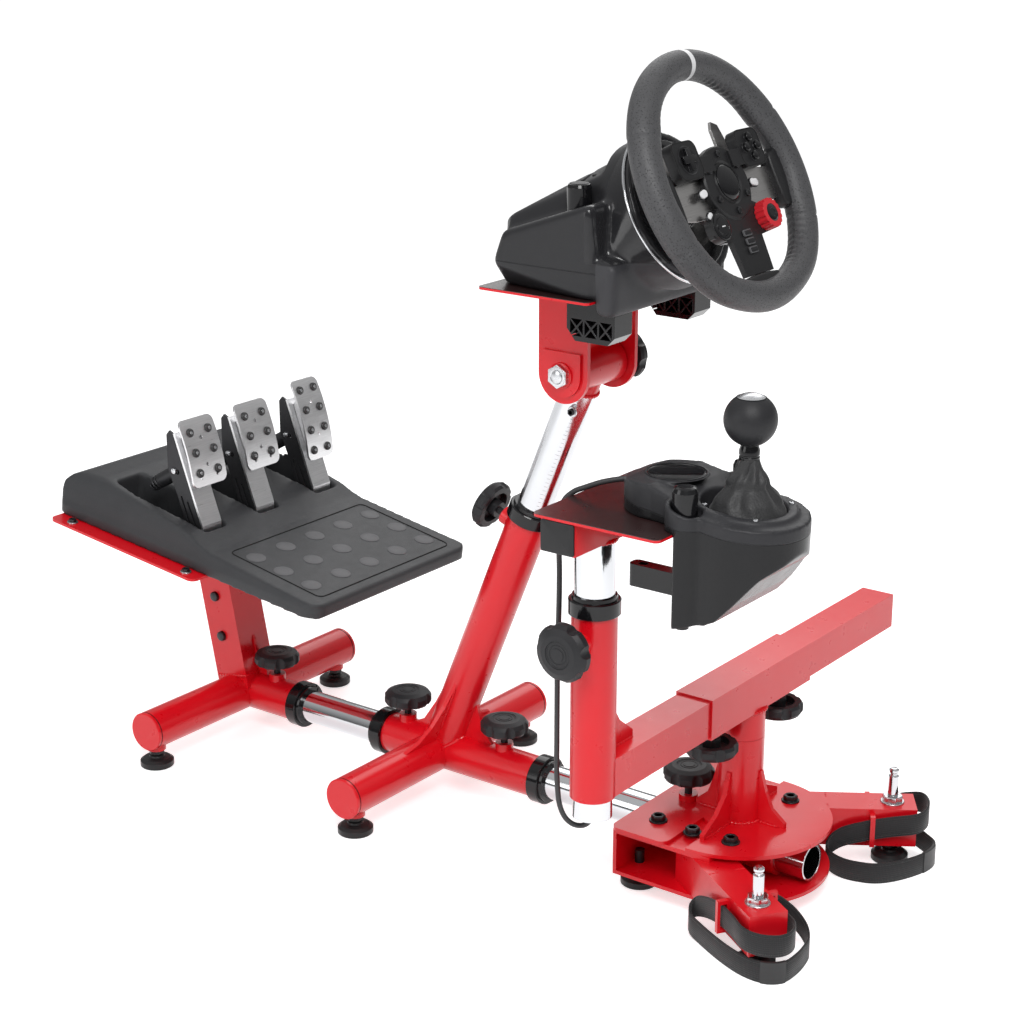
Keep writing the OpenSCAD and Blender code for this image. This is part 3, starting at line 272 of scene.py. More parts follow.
def paintFinish(name, colour, roughness=0.3, coat=0.25, softEdge=0.0):
    # powder coat: faint drift of colour, fine orange peel, slightly uneven gloss
    f = Finish(name, colour, roughness, softEdge, coat=coat, coatRoughness=0.12, specular=0.35)
    f.shades(f.grain(9, 3), 0.93, 1.05)
    f.uneven(60, 4, 0.16)
    f.relief(f.grain(520, 2) + f.grain(110, 1) * 0.6, 0.00009, 0.45)
    return f


def deckFinish(name, colour, node):
    # the same paint, with every face at the deck's full height painted near-black with a red hint: a painted dark
    # reflection on the glossy red top, not a real sheet
    f = paintFinish(name, colour)
    # the top faces, where the painted dark reflection goes
    top = f.axis("z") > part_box(node)[1].z - 0.0006
    paint = f.mix(f.grain(9, 3), shade(colour, 0.93), shade(colour, 1.05))
    f.tint(top, paint, tones["deckTopPaintedReflection"])
    return f


def chromeFinish(name, roughness=0.07):
    # bright plating with faint draw marks round the tube and a few duller patches
    f = Finish(name, (0.62, 0.63, 0.65), roughness, 0.0006, metallic=1.0)
    f.tint(f.grain(14, 3), (0.54, 0.55, 0.57), (0.68, 0.69, 0.71))
    marks = f.grain(60, 3, f.stretched(3, 40, 3))
    f.feed("Roughness", roughness + marks * 0.07 + (f.grain(18, 4) > 0.62) * 0.02)
    f.relief(marks, 0.00003, 0.4)
    return f


def plasticFinish(name, colour, roughness=0.45, grainSize=1500, depth=0.00008, coat=0.0, softEdge=0.0007,
                  specular=0.3):
    # moulded plastic: spark-eroded grain, faint bloom of lighter areas
    f = Finish(name, colour, roughness, softEdge, coat=coat, coatRoughness=0.06, specular=specular)
    f.shades(f.grain(22, 3), 0.86, 1.14)
    f.uneven(90, 3, 0.14)
    f.relief(f.cells(grainSize) + f.grain(grainSize * 0.6, 2), depth, 0.7)
    return f


def steelFinish(name, colour=(0.62, 0.63, 0.65), roughness=0.28, metallic=1.0):
    # plain fastener steel: mottled plating and tiny tool marks
    f = Finish(name, colour, roughness, 0.0003, metallic=metallic)
    f.shades(f.grain(300, 3), 0.8, 1.1)
    f.uneven(700, 2, 0.2)
    f.relief(f.grain(1800, 2), 0.00004, 0.5)
    return f


def brushedFinish(name, way, colour=(0.66, 0.67, 0.69), roughness=0.26):
    # brushed sheet: long fine scratches along one way
    f = Finish(name, colour, roughness, 0.0005, metallic=1.0)
    scratch = f.grain(40, 3, f.stretched(*way))
    f.shades(scratch, 0.78, 1.16)
    f.feed("Roughness", roughness + (scratch - 0.5) * 0.28)
    f.relief(scratch, 0.00005, 0.5)
    return f


def leatherFinish(name, colour, size=620, depth=0.00035):
    # pebbled leather: cells for the grain, a slow crease pattern, duller between the pebbles
    f = Finish(name, colour, 0.55, sheen=0.08, sheenRoughness=0.5)
    pebble = f.cells(size)
    crease = f.grain(70, 4)
    f.shades(pebble * 0.7 + crease * 0.3, 0.72, 1.35)
    f.feed("Roughness", 0.48 + pebble * 0.2 + (crease - 0.5) * 0.12)
    f.relief(crease * 0.6 - pebble, depth, 0.8)
    return f


def rimFinish(name, colour):
    # stretched leather with punched dots, and a stitch line along the inside of the ring
    f = Finish(name, colour, 0.5, sheen=0.06, sheenRoughness=0.5)
    pebble = f.cells(700)
    dots = f.cells(430) < 0.27
    along, around = f.uv("x"), f.uv("y")
    seam = f.between(around, 0.485, 0.515, 0.004)
    stitch = f.sum("FRACT", along * 190) < 0.6
    f.shades(dots * 0.6 + seam * 0.4 + pebble * 0.3, 1.25, 0.25)
    f.feed("Roughness", 0.46 + pebble * 0.14 + dots * 0.12)
    f.relief(0 - pebble * 0.5 - dots + seam * stitch * 2.2 - seam * 0.9, 0.00034, 0.85)
    return f


def webbingFinish(name, colour):
    # woven strap: ribs across, two yarns along, a row of stitches near each edge
    f = Finish(name, colour, 0.72, sheen=0.25, sheenRoughness=0.4)
    along, across = f.uv("x"), f.uv("y")
    ribs = f.sum("PINGPONG", along, 0.0008) * 1250
    yarns = f.sum("PINGPONG", across, 0.0011) * 900
    edge = f.between(abs(across), 0.0086, 0.0092, 0.0001)
    f.shades(ribs * 0.5 + f.grain(900, 2) * 0.5, 0.6, 1.6)
    f.feed("Roughness", 0.66 + yarns * 0.12)
    f.relief(ribs * 0.6 + yarns * 0.5 + edge * (ribs > 0.4) * 1.5, 0.00035, 0.8)
    return f


def rubberFinish(name, colour=(0.028, 0.028, 0.03), roughness=0.5):
    f = Finish(name, colour, roughness)
    f.shades(f.grain(120, 2), 0.85, 1.25)
    f.uneven(260, 2, 0.16)
    f.relief(f.grain(900, 3), 0.00006, 0.5)
    return f


tones = {
    "red": (0.72, 0.004, 0.012),
    "knob": (0.018, 0.018, 0.020),
    "housing": (0.020, 0.020, 0.022),
    "pedalHousing": (0.040, 0.041, 0.044),
    "leather": (0.050, 0.050, 0.053),
    "dialRed": (0.60, 0.02, 0.03),
    "white": (0.72, 0.72, 0.73),
    # painted dark reflection for the decks' glossy red tops
    "deckTopPaintedReflection": (0.030, 0.014, 0.014),
}

red = paintFinish("red_powder_coat", tones["red"])
wheelDeckPaint = deckFinish("red_deck_paint", tones["red"], "wheel_deck")
shifterDeckPaint = deckFinish("red_shifter_deck_paint", tones["red"], "shifter_deck")
chrome = chromeFinish("chrome_plate")
gloss = plasticFinish("gloss_black_plastic", (0.006, 0.006, 0.007), 0.14, 900, 0.00001, coat=0.15)
knobPlastic = plasticFinish("matte_knob_plastic", tones["knob"], 0.48, 1300, 0.00009)
footPlastic = plasticFinish("foot_plastic", (0.016, 0.016, 0.017), 0.38, 1500, 0.00006)
housingPlastic = plasticFinish("housing_plastic", tones["housing"], 0.42, 1900, 0.00007, softEdge=0.0)
pedalPlastic = plasticFinish("grained_housing", tones["pedalHousing"], 0.5, 1100, 0.00014, softEdge=0.0)
hubPlastic = plasticFinish("hub_plastic", (0.013, 0.013, 0.014), 0.4, 1900, 0.00005)
liftedPlastic = plasticFinish("pale_dot_plastic", (0.105, 0.105, 0.11), 0.55, 1500, 0.00006, softEdge=0.0)
darkSteel = steelFinish("black_steel", (0.035, 0.035, 0.038), 0.42, 0.6)
brightSteel = steelFinish("zinc_steel")
oxide = steelFinish("black_oxide", (0.045, 0.045, 0.048), 0.35, 0.8)
brushedFace = brushedFinish("brushed_pedal_face", (1.2, 40, 40), (0.82, 0.82, 0.83), 0.34)
brushedSpoke = brushedFinish("brushed_spoke", (1.0, 30, 30), (0.55, 0.54, 0.53), 0.32)
rimLeather = rimFinish("rim_leather", tones["leather"])
bootLeather = leatherFinish("gaiter_leather", (0.016, 0.016, 0.017), 520, 0.0003)
webbing = webbingFinish("strap_webbing", (0.011, 0.011, 0.012))
leadRubber = rubberFinish("lead_rubber")
rubber = rubberFinish("stud_rubber", (0.022, 0.022, 0.023), 0.42)
dialRed = plasticFinish("red_dial_plastic", tones["dialRed"], 0.32, 1400, 0.00005)
whitePlastic = plasticFinish("white_button_plastic", tones["white"], 0.35, 1400, 0.00003)
seamTrim = plasticFinish("dark_seam", (0.008, 0.008, 0.008), 0.7, 1500, 0.00003, softEdge=0.0)
capSteel = steelFinish("aluminium_cap", (0.70, 0.71, 0.73), 0.3)

dressing = {
    chrome: "spine_tube column_mast shifter_mast stem_pins",
    red: "front_crossbar pedal_stem pedal_plate mid_crossbar column_tube mast_head yoke base_box base_plate "
         "rear_post legs arm_sleeve slide_arm shifter_post",
    wheelDeckPaint: "wheel_deck",
    shifterDeckPaint: "shifter_deck",
    footPlastic: "front_feet mid_feet rear_feet",
    gloss: "front_collar mid_collars post_collar wheelbase_clamps shifter_clamp",
    knobPlastic: "front_knob mid_knobs rear_knob sleeve_knobs post_knob tilt_bolt gear_lever",
    pedalPlastic: "pedal_base",
    housingPlastic: "wheelbase shifter_body",
    darkSteel: "clutch_arm brake_arm throttle_arm shift_gimbal",
    brushedFace: "clutch_face brake_face throttle_face",
    rimLeather: "wheel_rim",
    brushedSpoke: "wheel_spokes left_paddle right_paddle",
    hubPlastic: "wheel_hub",
    dialRed: "mode_dial",
    bootLeather: "boot",
    webbing: "straps",
    leadRubber: "shifter_lead",
}
for finish, names in dressing.items():
    for name in names.split():
        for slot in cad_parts[name].material_slots:
            slot.material = finish.material
print("stage: finishes made,", len(dressing), "of them on the solids")


# Shapes: grids of points swept and turned, joined into one mesh a piece.
class Shape:
    # gathers grids of points, in world metres, into the arrays of one mesh
    def __init__(self):
        self.points, self.quads, self.tris = [], [], [np.zeros((0, 3), int)]
        self.quadSlots, self.triSlots, self.lay = [], [], []
        self.count = 0

    def grid(self, spot, points, wrapRows=False, caps=True, slot=0, lay=None):
        # rows run upwards and columns turn anticlockwise, so that the faces point outwards;
        # a cap closes the first and the last row to their middles
        rows, cols = points.shape[:2]
        i = np.arange(rows if wrapRows else rows - 1)[:, None]
        j = np.arange(cols)[None, :]
        i2, j2 = (i + 1) % rows, (j + 1) % cols
        quads = np.stack(np.broadcast_arrays(i * cols + j, i * cols + j2, i2 * cols + j2, i2 * cols + j), -1)
        self.quads.append(quads.reshape(-1, 4) + self.count)
        slots = np.broadcast_to(np.asarray(slot), quads.shape[:2]).reshape(-1)
        self.quadSlots.append(slots)
        flat = points.reshape(-1, 3)
        lay = np.zeros((rows * cols, 2)) if lay is None else lay.reshape(-1, 2)
        if caps and not wrapRows:
            low, last = rows * cols, (rows - 1) * cols
            a = np.arange(cols)
            b = (a + 1) % cols
            fans = np.concatenate((
                np.stack((np.full(cols, low), b, a), -1),
                np.stack((np.full(cols, low + 1), last + a, last + b), -1),
            ))
            self.tris.append(fans + self.count)
            self.triSlots.append(np.repeat((slots[0], slots[-1]), cols))
            flat = np.concatenate((flat, [points[0].mean(0), points[-1].mean(0)]))
            lay = np.concatenate((lay, np.zeros((2, 2))))
        self.points.append(spot(flat))
        self.lay.append(lay)
        self.count += len(flat)
        return self

    def lathe(self, spot, profile, around=64, slot=0, ring=False):
        # each (radius, height) of the profile goes once round the spot's z axis
        r, z = np.array(profile, float).T
        c, s = wave(np.arange(around) * 360 / around)
        points = np.stack((r[:, None] * c, r[:, None] * s, np.broadcast_to(z[:, None], (len(r), around))), -1)
        return self.grid(spot, points, wrapRows=ring, slot=slot)

    def hoop(self, spot, profile, around=96, slot=0):
        # a closed profile round the z axis, as for a ring or a band
        return self.lathe(spot, profile, around, slot, ring=True)

    def slab(self, spot, outline, low, high, soft=0.6, slot=0):
        # an outline raised between two heights, its edges eased by a quarter round
        turn = np.radians(np.array((0, 30, 60, 90)))
        inset = np.concatenate((soft * (1 - np.sin(turn)), soft * (1 - np.cos(turn))))
        height = np.concatenate((low + soft * (1 - np.cos(turn)), high - soft * (1 - np.sin(turn))))
        way = np.roll(outline, -1, 0) - np.roll(outline, 1, 0)
        inward = np.stack((-way[:, 1], way[:, 0]), -1)
        inward /= np.maximum(np.linalg.norm(inward, axis=1, keepdims=True), 1e-9)
        flat = outline[None] + inset[:, None, None] * inward[None]
        points = np.concatenate((flat, np.broadcast_to(height[:, None, None], flat.shape[:2] + (1,))), -1)
        return self.grid(spot, points, slot=slot)

    def tube(self, spot, path, radius, around=12, up=(0, 0, 1), closed=False, slot=0):
        # a round section carried along a path; radius may vary from point to point
        path = np.array(path, float)
        if closed:
            way = np.roll(path, -1, 0) - np.roll(path, 1, 0)
        else:
            way = np.gradient(path, axis=0)
        way /= np.linalg.norm(way, axis=1, keepdims=True)
        side = np.cross(way, np.broadcast_to(np.array(up, float), way.shape))
        side /= np.linalg.norm(side, axis=1, keepdims=True)
        rise = np.cross(side, way)
        c, s = wave(np.arange(around) * 360 / around)
        r = np.broadcast_to(np.asarray(radius, float), (len(path),))[:, None, None]
        points = path[:, None] + r * (c[None, :, None] * side[:, None] - s[None, :, None] * rise[:, None])
        return self.grid(spot, points, wrapRows=closed, slot=slot)


def makePiece(name, shape, body, finishes, sharp=38, nodes=()):
    data = bpy.data.meshes.new(name)
    quads, tris, points = (np.concatenate(part) for part in (shape.quads, shape.tris, shape.points))
    corners = np.concatenate((quads.reshape(-1), tris.reshape(-1))).astype(np.int32)
    totals = np.concatenate((np.full(len(quads), 4), np.full(len(tris), 3)))
    starts = np.concatenate(((0,), np.cumsum(totals)[:-1])).astype(np.int32)
    data.vertices.add(len(points))
    data.vertices.foreach_set("co", points.reshape(-1).astype(np.float32))
    data.loops.add(len(corners))
    data.loops.foreach_set("vertex_index", corners)
    data.polygons.add(len(totals))
    data.polygons.foreach_set("loop_start", starts)
    for finish in finishes:
        data.materials.append(finish.material)
    owners = np.concatenate(shape.quadSlots + shape.triSlots).astype(np.int32)
    data.polygons.foreach_set("material_index", owners)
    data.update(calc_edges=True)
    where = np.concatenate(shape.lay)
    data.uv_layers.new(name="lay").data.foreach_set("uv", where[corners].reshape(-1).astype(np.float32))
    data.validate()
    data.shade_smooth()
    data.set_sharp_from_angle(angle=math.radians(sharp))
    made = intoScene(name, data)
    if body:
        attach(made, body)
    if nodes:
        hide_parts(*nodes)
    return made


def roundedBox(w, l, r, steps=6):
    # the outline of a w by l rectangle about its middle, each corner a quarter round of radius r
    a = np.radians(np.linspace(0, 90, steps + 1))
    corner = np.stack((np.cos(a), np.sin(a)), -1) * r
    x, y = w / 2 - r, l / 2 - r
    quarter = [(x, y), (-x, y), (-x, -y), (x, -y)]
    turns = [np.array(m) for m in (((1, 0), (0, 1)), ((0, 1), (-1, 0)), ((-1, 0), (0, -1)), ((0, -1), (1, 0)))]
    return np.concatenate([corner @ m + q for m, q in zip(turns, quarter)])


def ringOutline(r, sides):
    c, s = wave(np.arange(sides) * 360 / sides)
    return np.stack((c, s), -1) * r


def level(outline, height=0.0):
    # an outline as a path at one height
    return np.concatenate((outline, np.full((len(outline), 1), height)), 1)


def roundRoute(points, fill, closed=False):
    # a Catmull-Rom curve through the points: four neighbours weigh in on each stretch
    p = np.array(points, float)
    n = len(p)
    u = np.arange(fill)[None, :, None] / fill
    if closed:
        a, b, c, d = np.roll(p, 1, 0), p, np.roll(p, -1, 0), np.roll(p, -2, 0)
    else:
        full = np.concatenate((2 * p[:1] - p[1:2], p, 2 * p[-1:] - p[-2:-1]))
        a, b, c, d = full[:n - 1], full[1:n], full[2:n + 1], full[3:n + 2]
    a, b, c, d = (v[:, None] for v in (a, b, c, d))
    curve = 0.5 * (2 * b + (c - a) * u + (2 * a - 5 * b + 4 * c - d) * u ** 2
                   + (3 * b - a - 3 * c + d) * u ** 3).reshape(-1, p.shape[1])
    return curve if closed else np.concatenate((curve, p[-1:]))


def hexBolt(shape, spot, across, height, washer=0.0, slot=0, washerSlot=0):
    # washer, six-sided head with its chamfer, and a shallow dished top
    if washer:
        shape.lathe(spot, [(washer, 0), (washer, 1.1), (washer - 0.5, 1.6), (0.5, 1.6)], 40, washerSlot)
    base = 1.4 if washer else -0.4
    top = base + height * 0.86
    shape.slab(spot, ringOutline(across / 2 / math.cos(math.pi / 6), 6), base, top, 0.05, slot)
    shape.lathe(spot, [(across * 0.49, top - 0.6), (across * 0.47, top + height * 0.1),
                       (across * 0.36, top + height * 0.14), (across * 0.30, top), (0.4, top)], 40, slot)


def capScrew(shape, spot, r=3.2, height=2.6, slot=0, darkSlot=0):
    # a domed socket screw with its dark hexagon hole
    shape.lathe(spot, [(r, -0.4), (r, height * 0.55), (r * 0.92, height * 0.85), (r * 0.72, height),
                       (0.3, height)], 32, slot)
    shape.slab(spot, ringOutline(r * 0.46, 6), height - 0.5, height + 0.08, 0.05, darkSlot)


def beadRing(shape, spot, r, thick=2.2, ripples=40, slot=0):
    # a weld bead round a tube: a thin torus whose thickness ripples with each pass
    turn = np.arange(ripples * 6)
    c, s = wave(turn * 360 / len(turn))
    path = np.stack((r * c, r * s, np.zeros(len(turn))), -1)
    ripple = thick * (1 + 0.16 * np.sin(turn * 2 * math.pi / 6))
    shape.tube(spot, path, ripple, 10, closed=True, slot=slot)


def beadLine(shape, spot, start, end, thick=1.8, slot=0):
    # a straight bead: the same ripple along a line, thinned out at both ends
    start, end = np.array(start, float), np.array(end, float)
    steps = max(8, int(np.linalg.norm(end - start) / 0.7))
    u = np.linspace(0, 1, steps)
    ends = np.minimum(1, np.minimum(u, 1 - u) * 9 + 0.35)
    path = start + u[:, None] * (end - start)
    up = (0, 0, 1) if abs((end - start)[2]) < 0.8 * np.linalg.norm(end - start) else (1, 0, 0)
    shape.tube(spot, path, thick * ends * (1 + 0.16 * np.sin(u * steps)), 8, up=up, slot=slot)


# The lead comes first; its length is worked out and printed.
lead = {
    "diameter": 0.005,
    "route": [(-241, 129.2, 452), (-241, 134, 452), (-245, 142, 451), (-252, 154, 448), (-259, 166, 443),
              (-265, 176, 438), (-270, 183, 429), (-274, 184, 414), (-278, 182, 394), (-281, 179, 368),
              (-284, 177, 340), (-285, 177, 312), (-286, 177, 284), (-286, 177, 256), (-286, 177, 228),
              (-286, 177, 200), (-286, 177, 178), (-285, 176.5, 158), (-284, 175, 142), (-281, 171, 129),
              (-277, 164, 122), (-272.5, 156, 121.5), (-269.6, 150.6, 127), (-268.8, 149, 137),
              (-268.8, 148.9, 147)],
}


def makeLead():
    # one smooth curve through the same points as the solid's route
    line = roundRoute(lead["route"], 4)
    route = floor(line)
    length = float(np.linalg.norm(np.diff(route, axis=0), axis=1).sum())
    tube = Shape().tube(floor, line, lead["diameter"] * 500, 20, up=(1, 0, 0))
    cable = makePiece("shifter_lead_cable", tube, None, [leadRubber], 60, ["shifter_lead"])
    tuple(floor((-285, 177, 160)))
    tuple(floor((-285, 177, 400)))
    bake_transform(cable)
    # the sleeve that guards the lead where it leaves the body: a taper with two grooves
    guard = Shape()
    out = Spot((-241, 128.6, 452)).turned("x", -90)
    guard.lathe(out, [(5.6, -0.5), (5.6, 1.4), (4.6, 1.8), (4.4, 3.2), (3.9, 3.5), (4.1, 5.0), (3.6, 5.3),
                      (3.5, 7.0), (2.7, 7.4)], 32)
    makePiece("lead_guard", guard, "shifter_stand", [rubber])
    return length


print("stage: lead laid,", round(makeLead(), 3), "m")


# Moulded housings: their solids, remeshed and eased so that every edge is round.
moulding = {
    "wheelbase": {"voxel": 0.0018, "ease": 34, "body": "wheel_stand", "slot": "grey_plastic"},
    "shifter_body": {"voxel": 0.0014, "ease": 7, "body": "shifter_stand", "slot": "grey_plastic"},
    "pedal_base": {"voxel": 0.0024, "ease": 4, "body": "pedal_frame", "slot": "grey_plastic"},
}


slim = {"from": (0, 40, 52, 57, 80), "to": (0, 33.6, 43.7, 54.4, 77), "skirt": 0.955, "belly": 0.07, "rear": 34}


def slimShifter(mesh):
    # draws the shifter's skirt in: radii about the lever follow a table, and the belly rises a little
    flat = np.empty(len(mesh.vertices) * 3, np.float32)
    mesh.vertices.foreach_get("co", flat)
    local = (flat.reshape(-1, 3) - shifter((0, 0, 0))) * 1000
    x, y, z = local.T
    r = np.maximum(np.hypot(x, y), 1e-6)
    top = np.interp(r, slim["from"], slim["to"])
    share = np.clip((z + 4) / 8, 0, 1)
    inner = share * top + (1 - share) * r * slim["skirt"]
    front = np.clip((slim["rear"] - y) / 30, 0, 1)
    k = 1 + (inner / r - 1) * front
    low = np.clip(-z / 60, 0, 1) * front
    local = np.stack((x * k, y * k + low * 1.5, np.where(z < 0, z * (1 - slim["belly"] * front), z)), -1)
    mesh.vertices.foreach_set("co", (local / 1000 + shifter((0, 0, 0))).reshape(-1).astype(np.float32))
    mesh.update()


moulding["shifter_body"]["remap"] = slimShifter


def makeMoulded(node, finish):
    # the solid's own mesh, turned into small cubes' skin, smoothed, and remapped where it says so
    facts = moulding[node]
    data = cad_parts[node].data.copy()
    data.name = node + "_moulded"
    made = intoScene(data.name, data)
    data.materials.clear()
    data.materials.append(finish.material)
    bpy.context.view_layer.objects.active = made
    weld = made.modifiers.new("weld", "WELD")
    weld.merge_threshold = 0.00002
    skin = made.modifiers.new("skin", "REMESH")
    skin.mode = "VOXEL"
    skin.voxel_size = facts["voxel"]
    ease = made.modifiers.new("ease", "SMOOTH")
    ease.factor, ease.iterations = 0.5, facts["ease"]
    for step in list(made.modifiers):
        bpy.ops.object.modifier_apply(modifier=step.name)
    if "remap" in facts:
        facts["remap"](made.data)
    made.data.shade_smooth()
    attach(made, facts["body"])
    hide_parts(node)


def zonedHousing():
    # the wheel housing: gloss panel to the driver, paler grained lip, parting line on both sides
    f = Finish("wheel_housing_plastic", tones["housing"], 0.42, specular=0.3, coatRoughness=0.1)
    y, z = f.axis("y") - float(tilt((0, 0, 0))[1]), f.axis("z") - float(deck((0, 0, 0))[2])
    lip = (y < -0.0775) * (z < 0.0355)
    face = (y < -0.0655) * (z > 0.0365)
    line = f.between(z, 0.0262, 0.0270) * (y > -0.0775)
    grain = f.cells(1500)
    f.shades(lip - face * 0.45, 1.0, 2.0)
    f.feed("Roughness", 0.40 + (f.grain(80, 3) - 0.5) * 0.12 - face * 0.22 + lip * 0.12)
    f.relief(grain * (0.35 + lip * 0.9) * (1 - face) - line * 9, 0.00009, 0.8)
    f.feed("Coat Weight", face * 0.25)
    return f


def zonedShifter():
    # the shifter's body: satin top above the parting line, glossier dark side below it
    f = Finish("shifter_plastic", tones["housing"], 0.4, specular=0.25)
    y, z = f.axis("y") - float(shifter((0, 0, 0))[1]), f.axis("z") - float(shifter((0, 0, 0))[2])
    split = z - y * 0.10
    low = split < 0.0015
    line = f.between(split, 0.0012, 0.0020)
    f.shades(low, 1.45, 0.55)
    f.feed("Roughness", 0.44 + (f.grain(80, 3) - 0.5) * 0.12 - low * 0.2)
    f.relief(f.cells(1700) * (1 - low * 0.8) - line * 8, 0.00008, 0.8)
    return f


makeMoulded("wheelbase", zonedHousing())
makeMoulded("shifter_body", zonedShifter())
makeMoulded("pedal_base", pedalPlastic)
print("stage: housings moulded")


# Steering wheel.
rim = {
    "radius": 119.5, "thick": 15.4,
    "flat": 5.4, "flatWide": 34.0,
    "thumb": 3.0, "thumbs": ((31, 10, 1.0), (149, 10, 1.0), (346, 9, 0.6), (194, 9, 0.6)),
    "seam": 0.8, "seams": (28, 152, 205, 335),
    "pleat": 0.55, "pleats": (56, 124, 318, 222), "pleatsATurn": 90,
    "band": 2.0,
}


def hump(phi, middle, wide, power=2):
    # 1 at the middle, fading out at about the width to both sides
    return np.exp(-((phi - middle) / wide) ** power)


def makeRim():
    # a ring whose centre line is pulled in at the bottom, with a thicker grip at each side,
    # a fuller thumb rest above each spoke and a fine groove at each seam
    cols, rows = 44, 540
    phi = np.arange(rows) * 360 / rows
    psi = np.arange(cols) * 360 / cols
    c, s = wave(phi)
    away = np.minimum(abs(phi - 270), 360 - abs(phi - 270))
    centre = rim["radius"] - rim["flat"] * hump(away, 0, rim["flatWide"], 4)
    grip = hump(np.minimum(np.minimum(phi, 360 - phi), abs(phi - 180)), 0, 62, 6)
    thumb = sum(share * hump(phi, a, wide) for a, wide, share in rim["thumbs"])
    seam = sum(hump(phi, a, 0.8) for a in rim["seams"])
    cp, sp = wave(psi)
    inward = np.clip(-cp, 0, 1) ** 2
    front = np.clip(sp, 0, 1)
    # stretched leather gathers into small pleats on the inside of the upper arcs
    ripple = rim["pleat"] * wave(phi * rim["pleatsATurn"])[1]
    pleats = ripple * sum(hump(phi, a, 20, 4) for a in rim["pleats"])
    pleats, grip, thumb, seam = (v[:, None] for v in (pleats, grip, thumb, seam))
    thick = rim["thick"] - 0.5 + pleats * inward ** 2 + grip * (0.5 - 0.6 * front) \
        + thumb * rim["thumb"] * inward - seam * rim["seam"]
    across = centre[:, None] + thick * cp
    rise = thick * sp
    points = np.stack((across * c[:, None], across * s[:, None], rise), -1)
    lay = np.stack(np.broadcast_arrays((phi / 360)[:, None], (psi / 360)[None]), -1)
    band = abs(phi - 90) < rim["band"]
    slots = np.broadcast_to(np.where(band, 1, 0)[:, None], (rows, cols))
    shape = Shape()
    shape.grid(wheel, points[::-1], wrapRows=True, caps=False, slot=slots[::-1], lay=lay[::-1])
    # roots in the hub's plastic that run into the two side spokes, and the lower spoke's root
    for mirror in (-1, 1):
        outline = np.array([(88, 14), (88, -30), (99, -37), (110, -40), (114, -34), (113, -8), (114, 20),
                            (110, 28), (99, 22)], float)
        outline = roundRoute(outline, 5, closed=True)
        outline[:, 0] *= mirror
        shape.slab(wheel, outline[::mirror], -12, 2.5, 3.2, slot=2)
    root = roundRoute([(27, -93), (28, -104), (34, -112), (20, -114), (-20, -114), (-34, -112), (-28, -104),
                       (-27, -93)], 4, closed=True)
    shape.slab(wheel, root[::-1], -8, 2.4, 2.6, slot=2)
    makePiece("rim_leather_ring", shape, "steering_wheel", [rimLeather, whitePlastic, hubPlastic],
              60, ["wheel_rim"])


hub = {
    "screws": (28.6, 30, 6),
    "pod": (56, 28, 5),
    "ovals": ((-46, -5.5, 12, 7.5, 12), (46, -5.5, 12, 7.5, -12), (-49, -27, 8, 5.4, 35)),
    "roundKey": (-41, -40, 4),
    "dialTop": (41, -40, 10.2),
    "keys": (3, -51.2, -8.5),
}


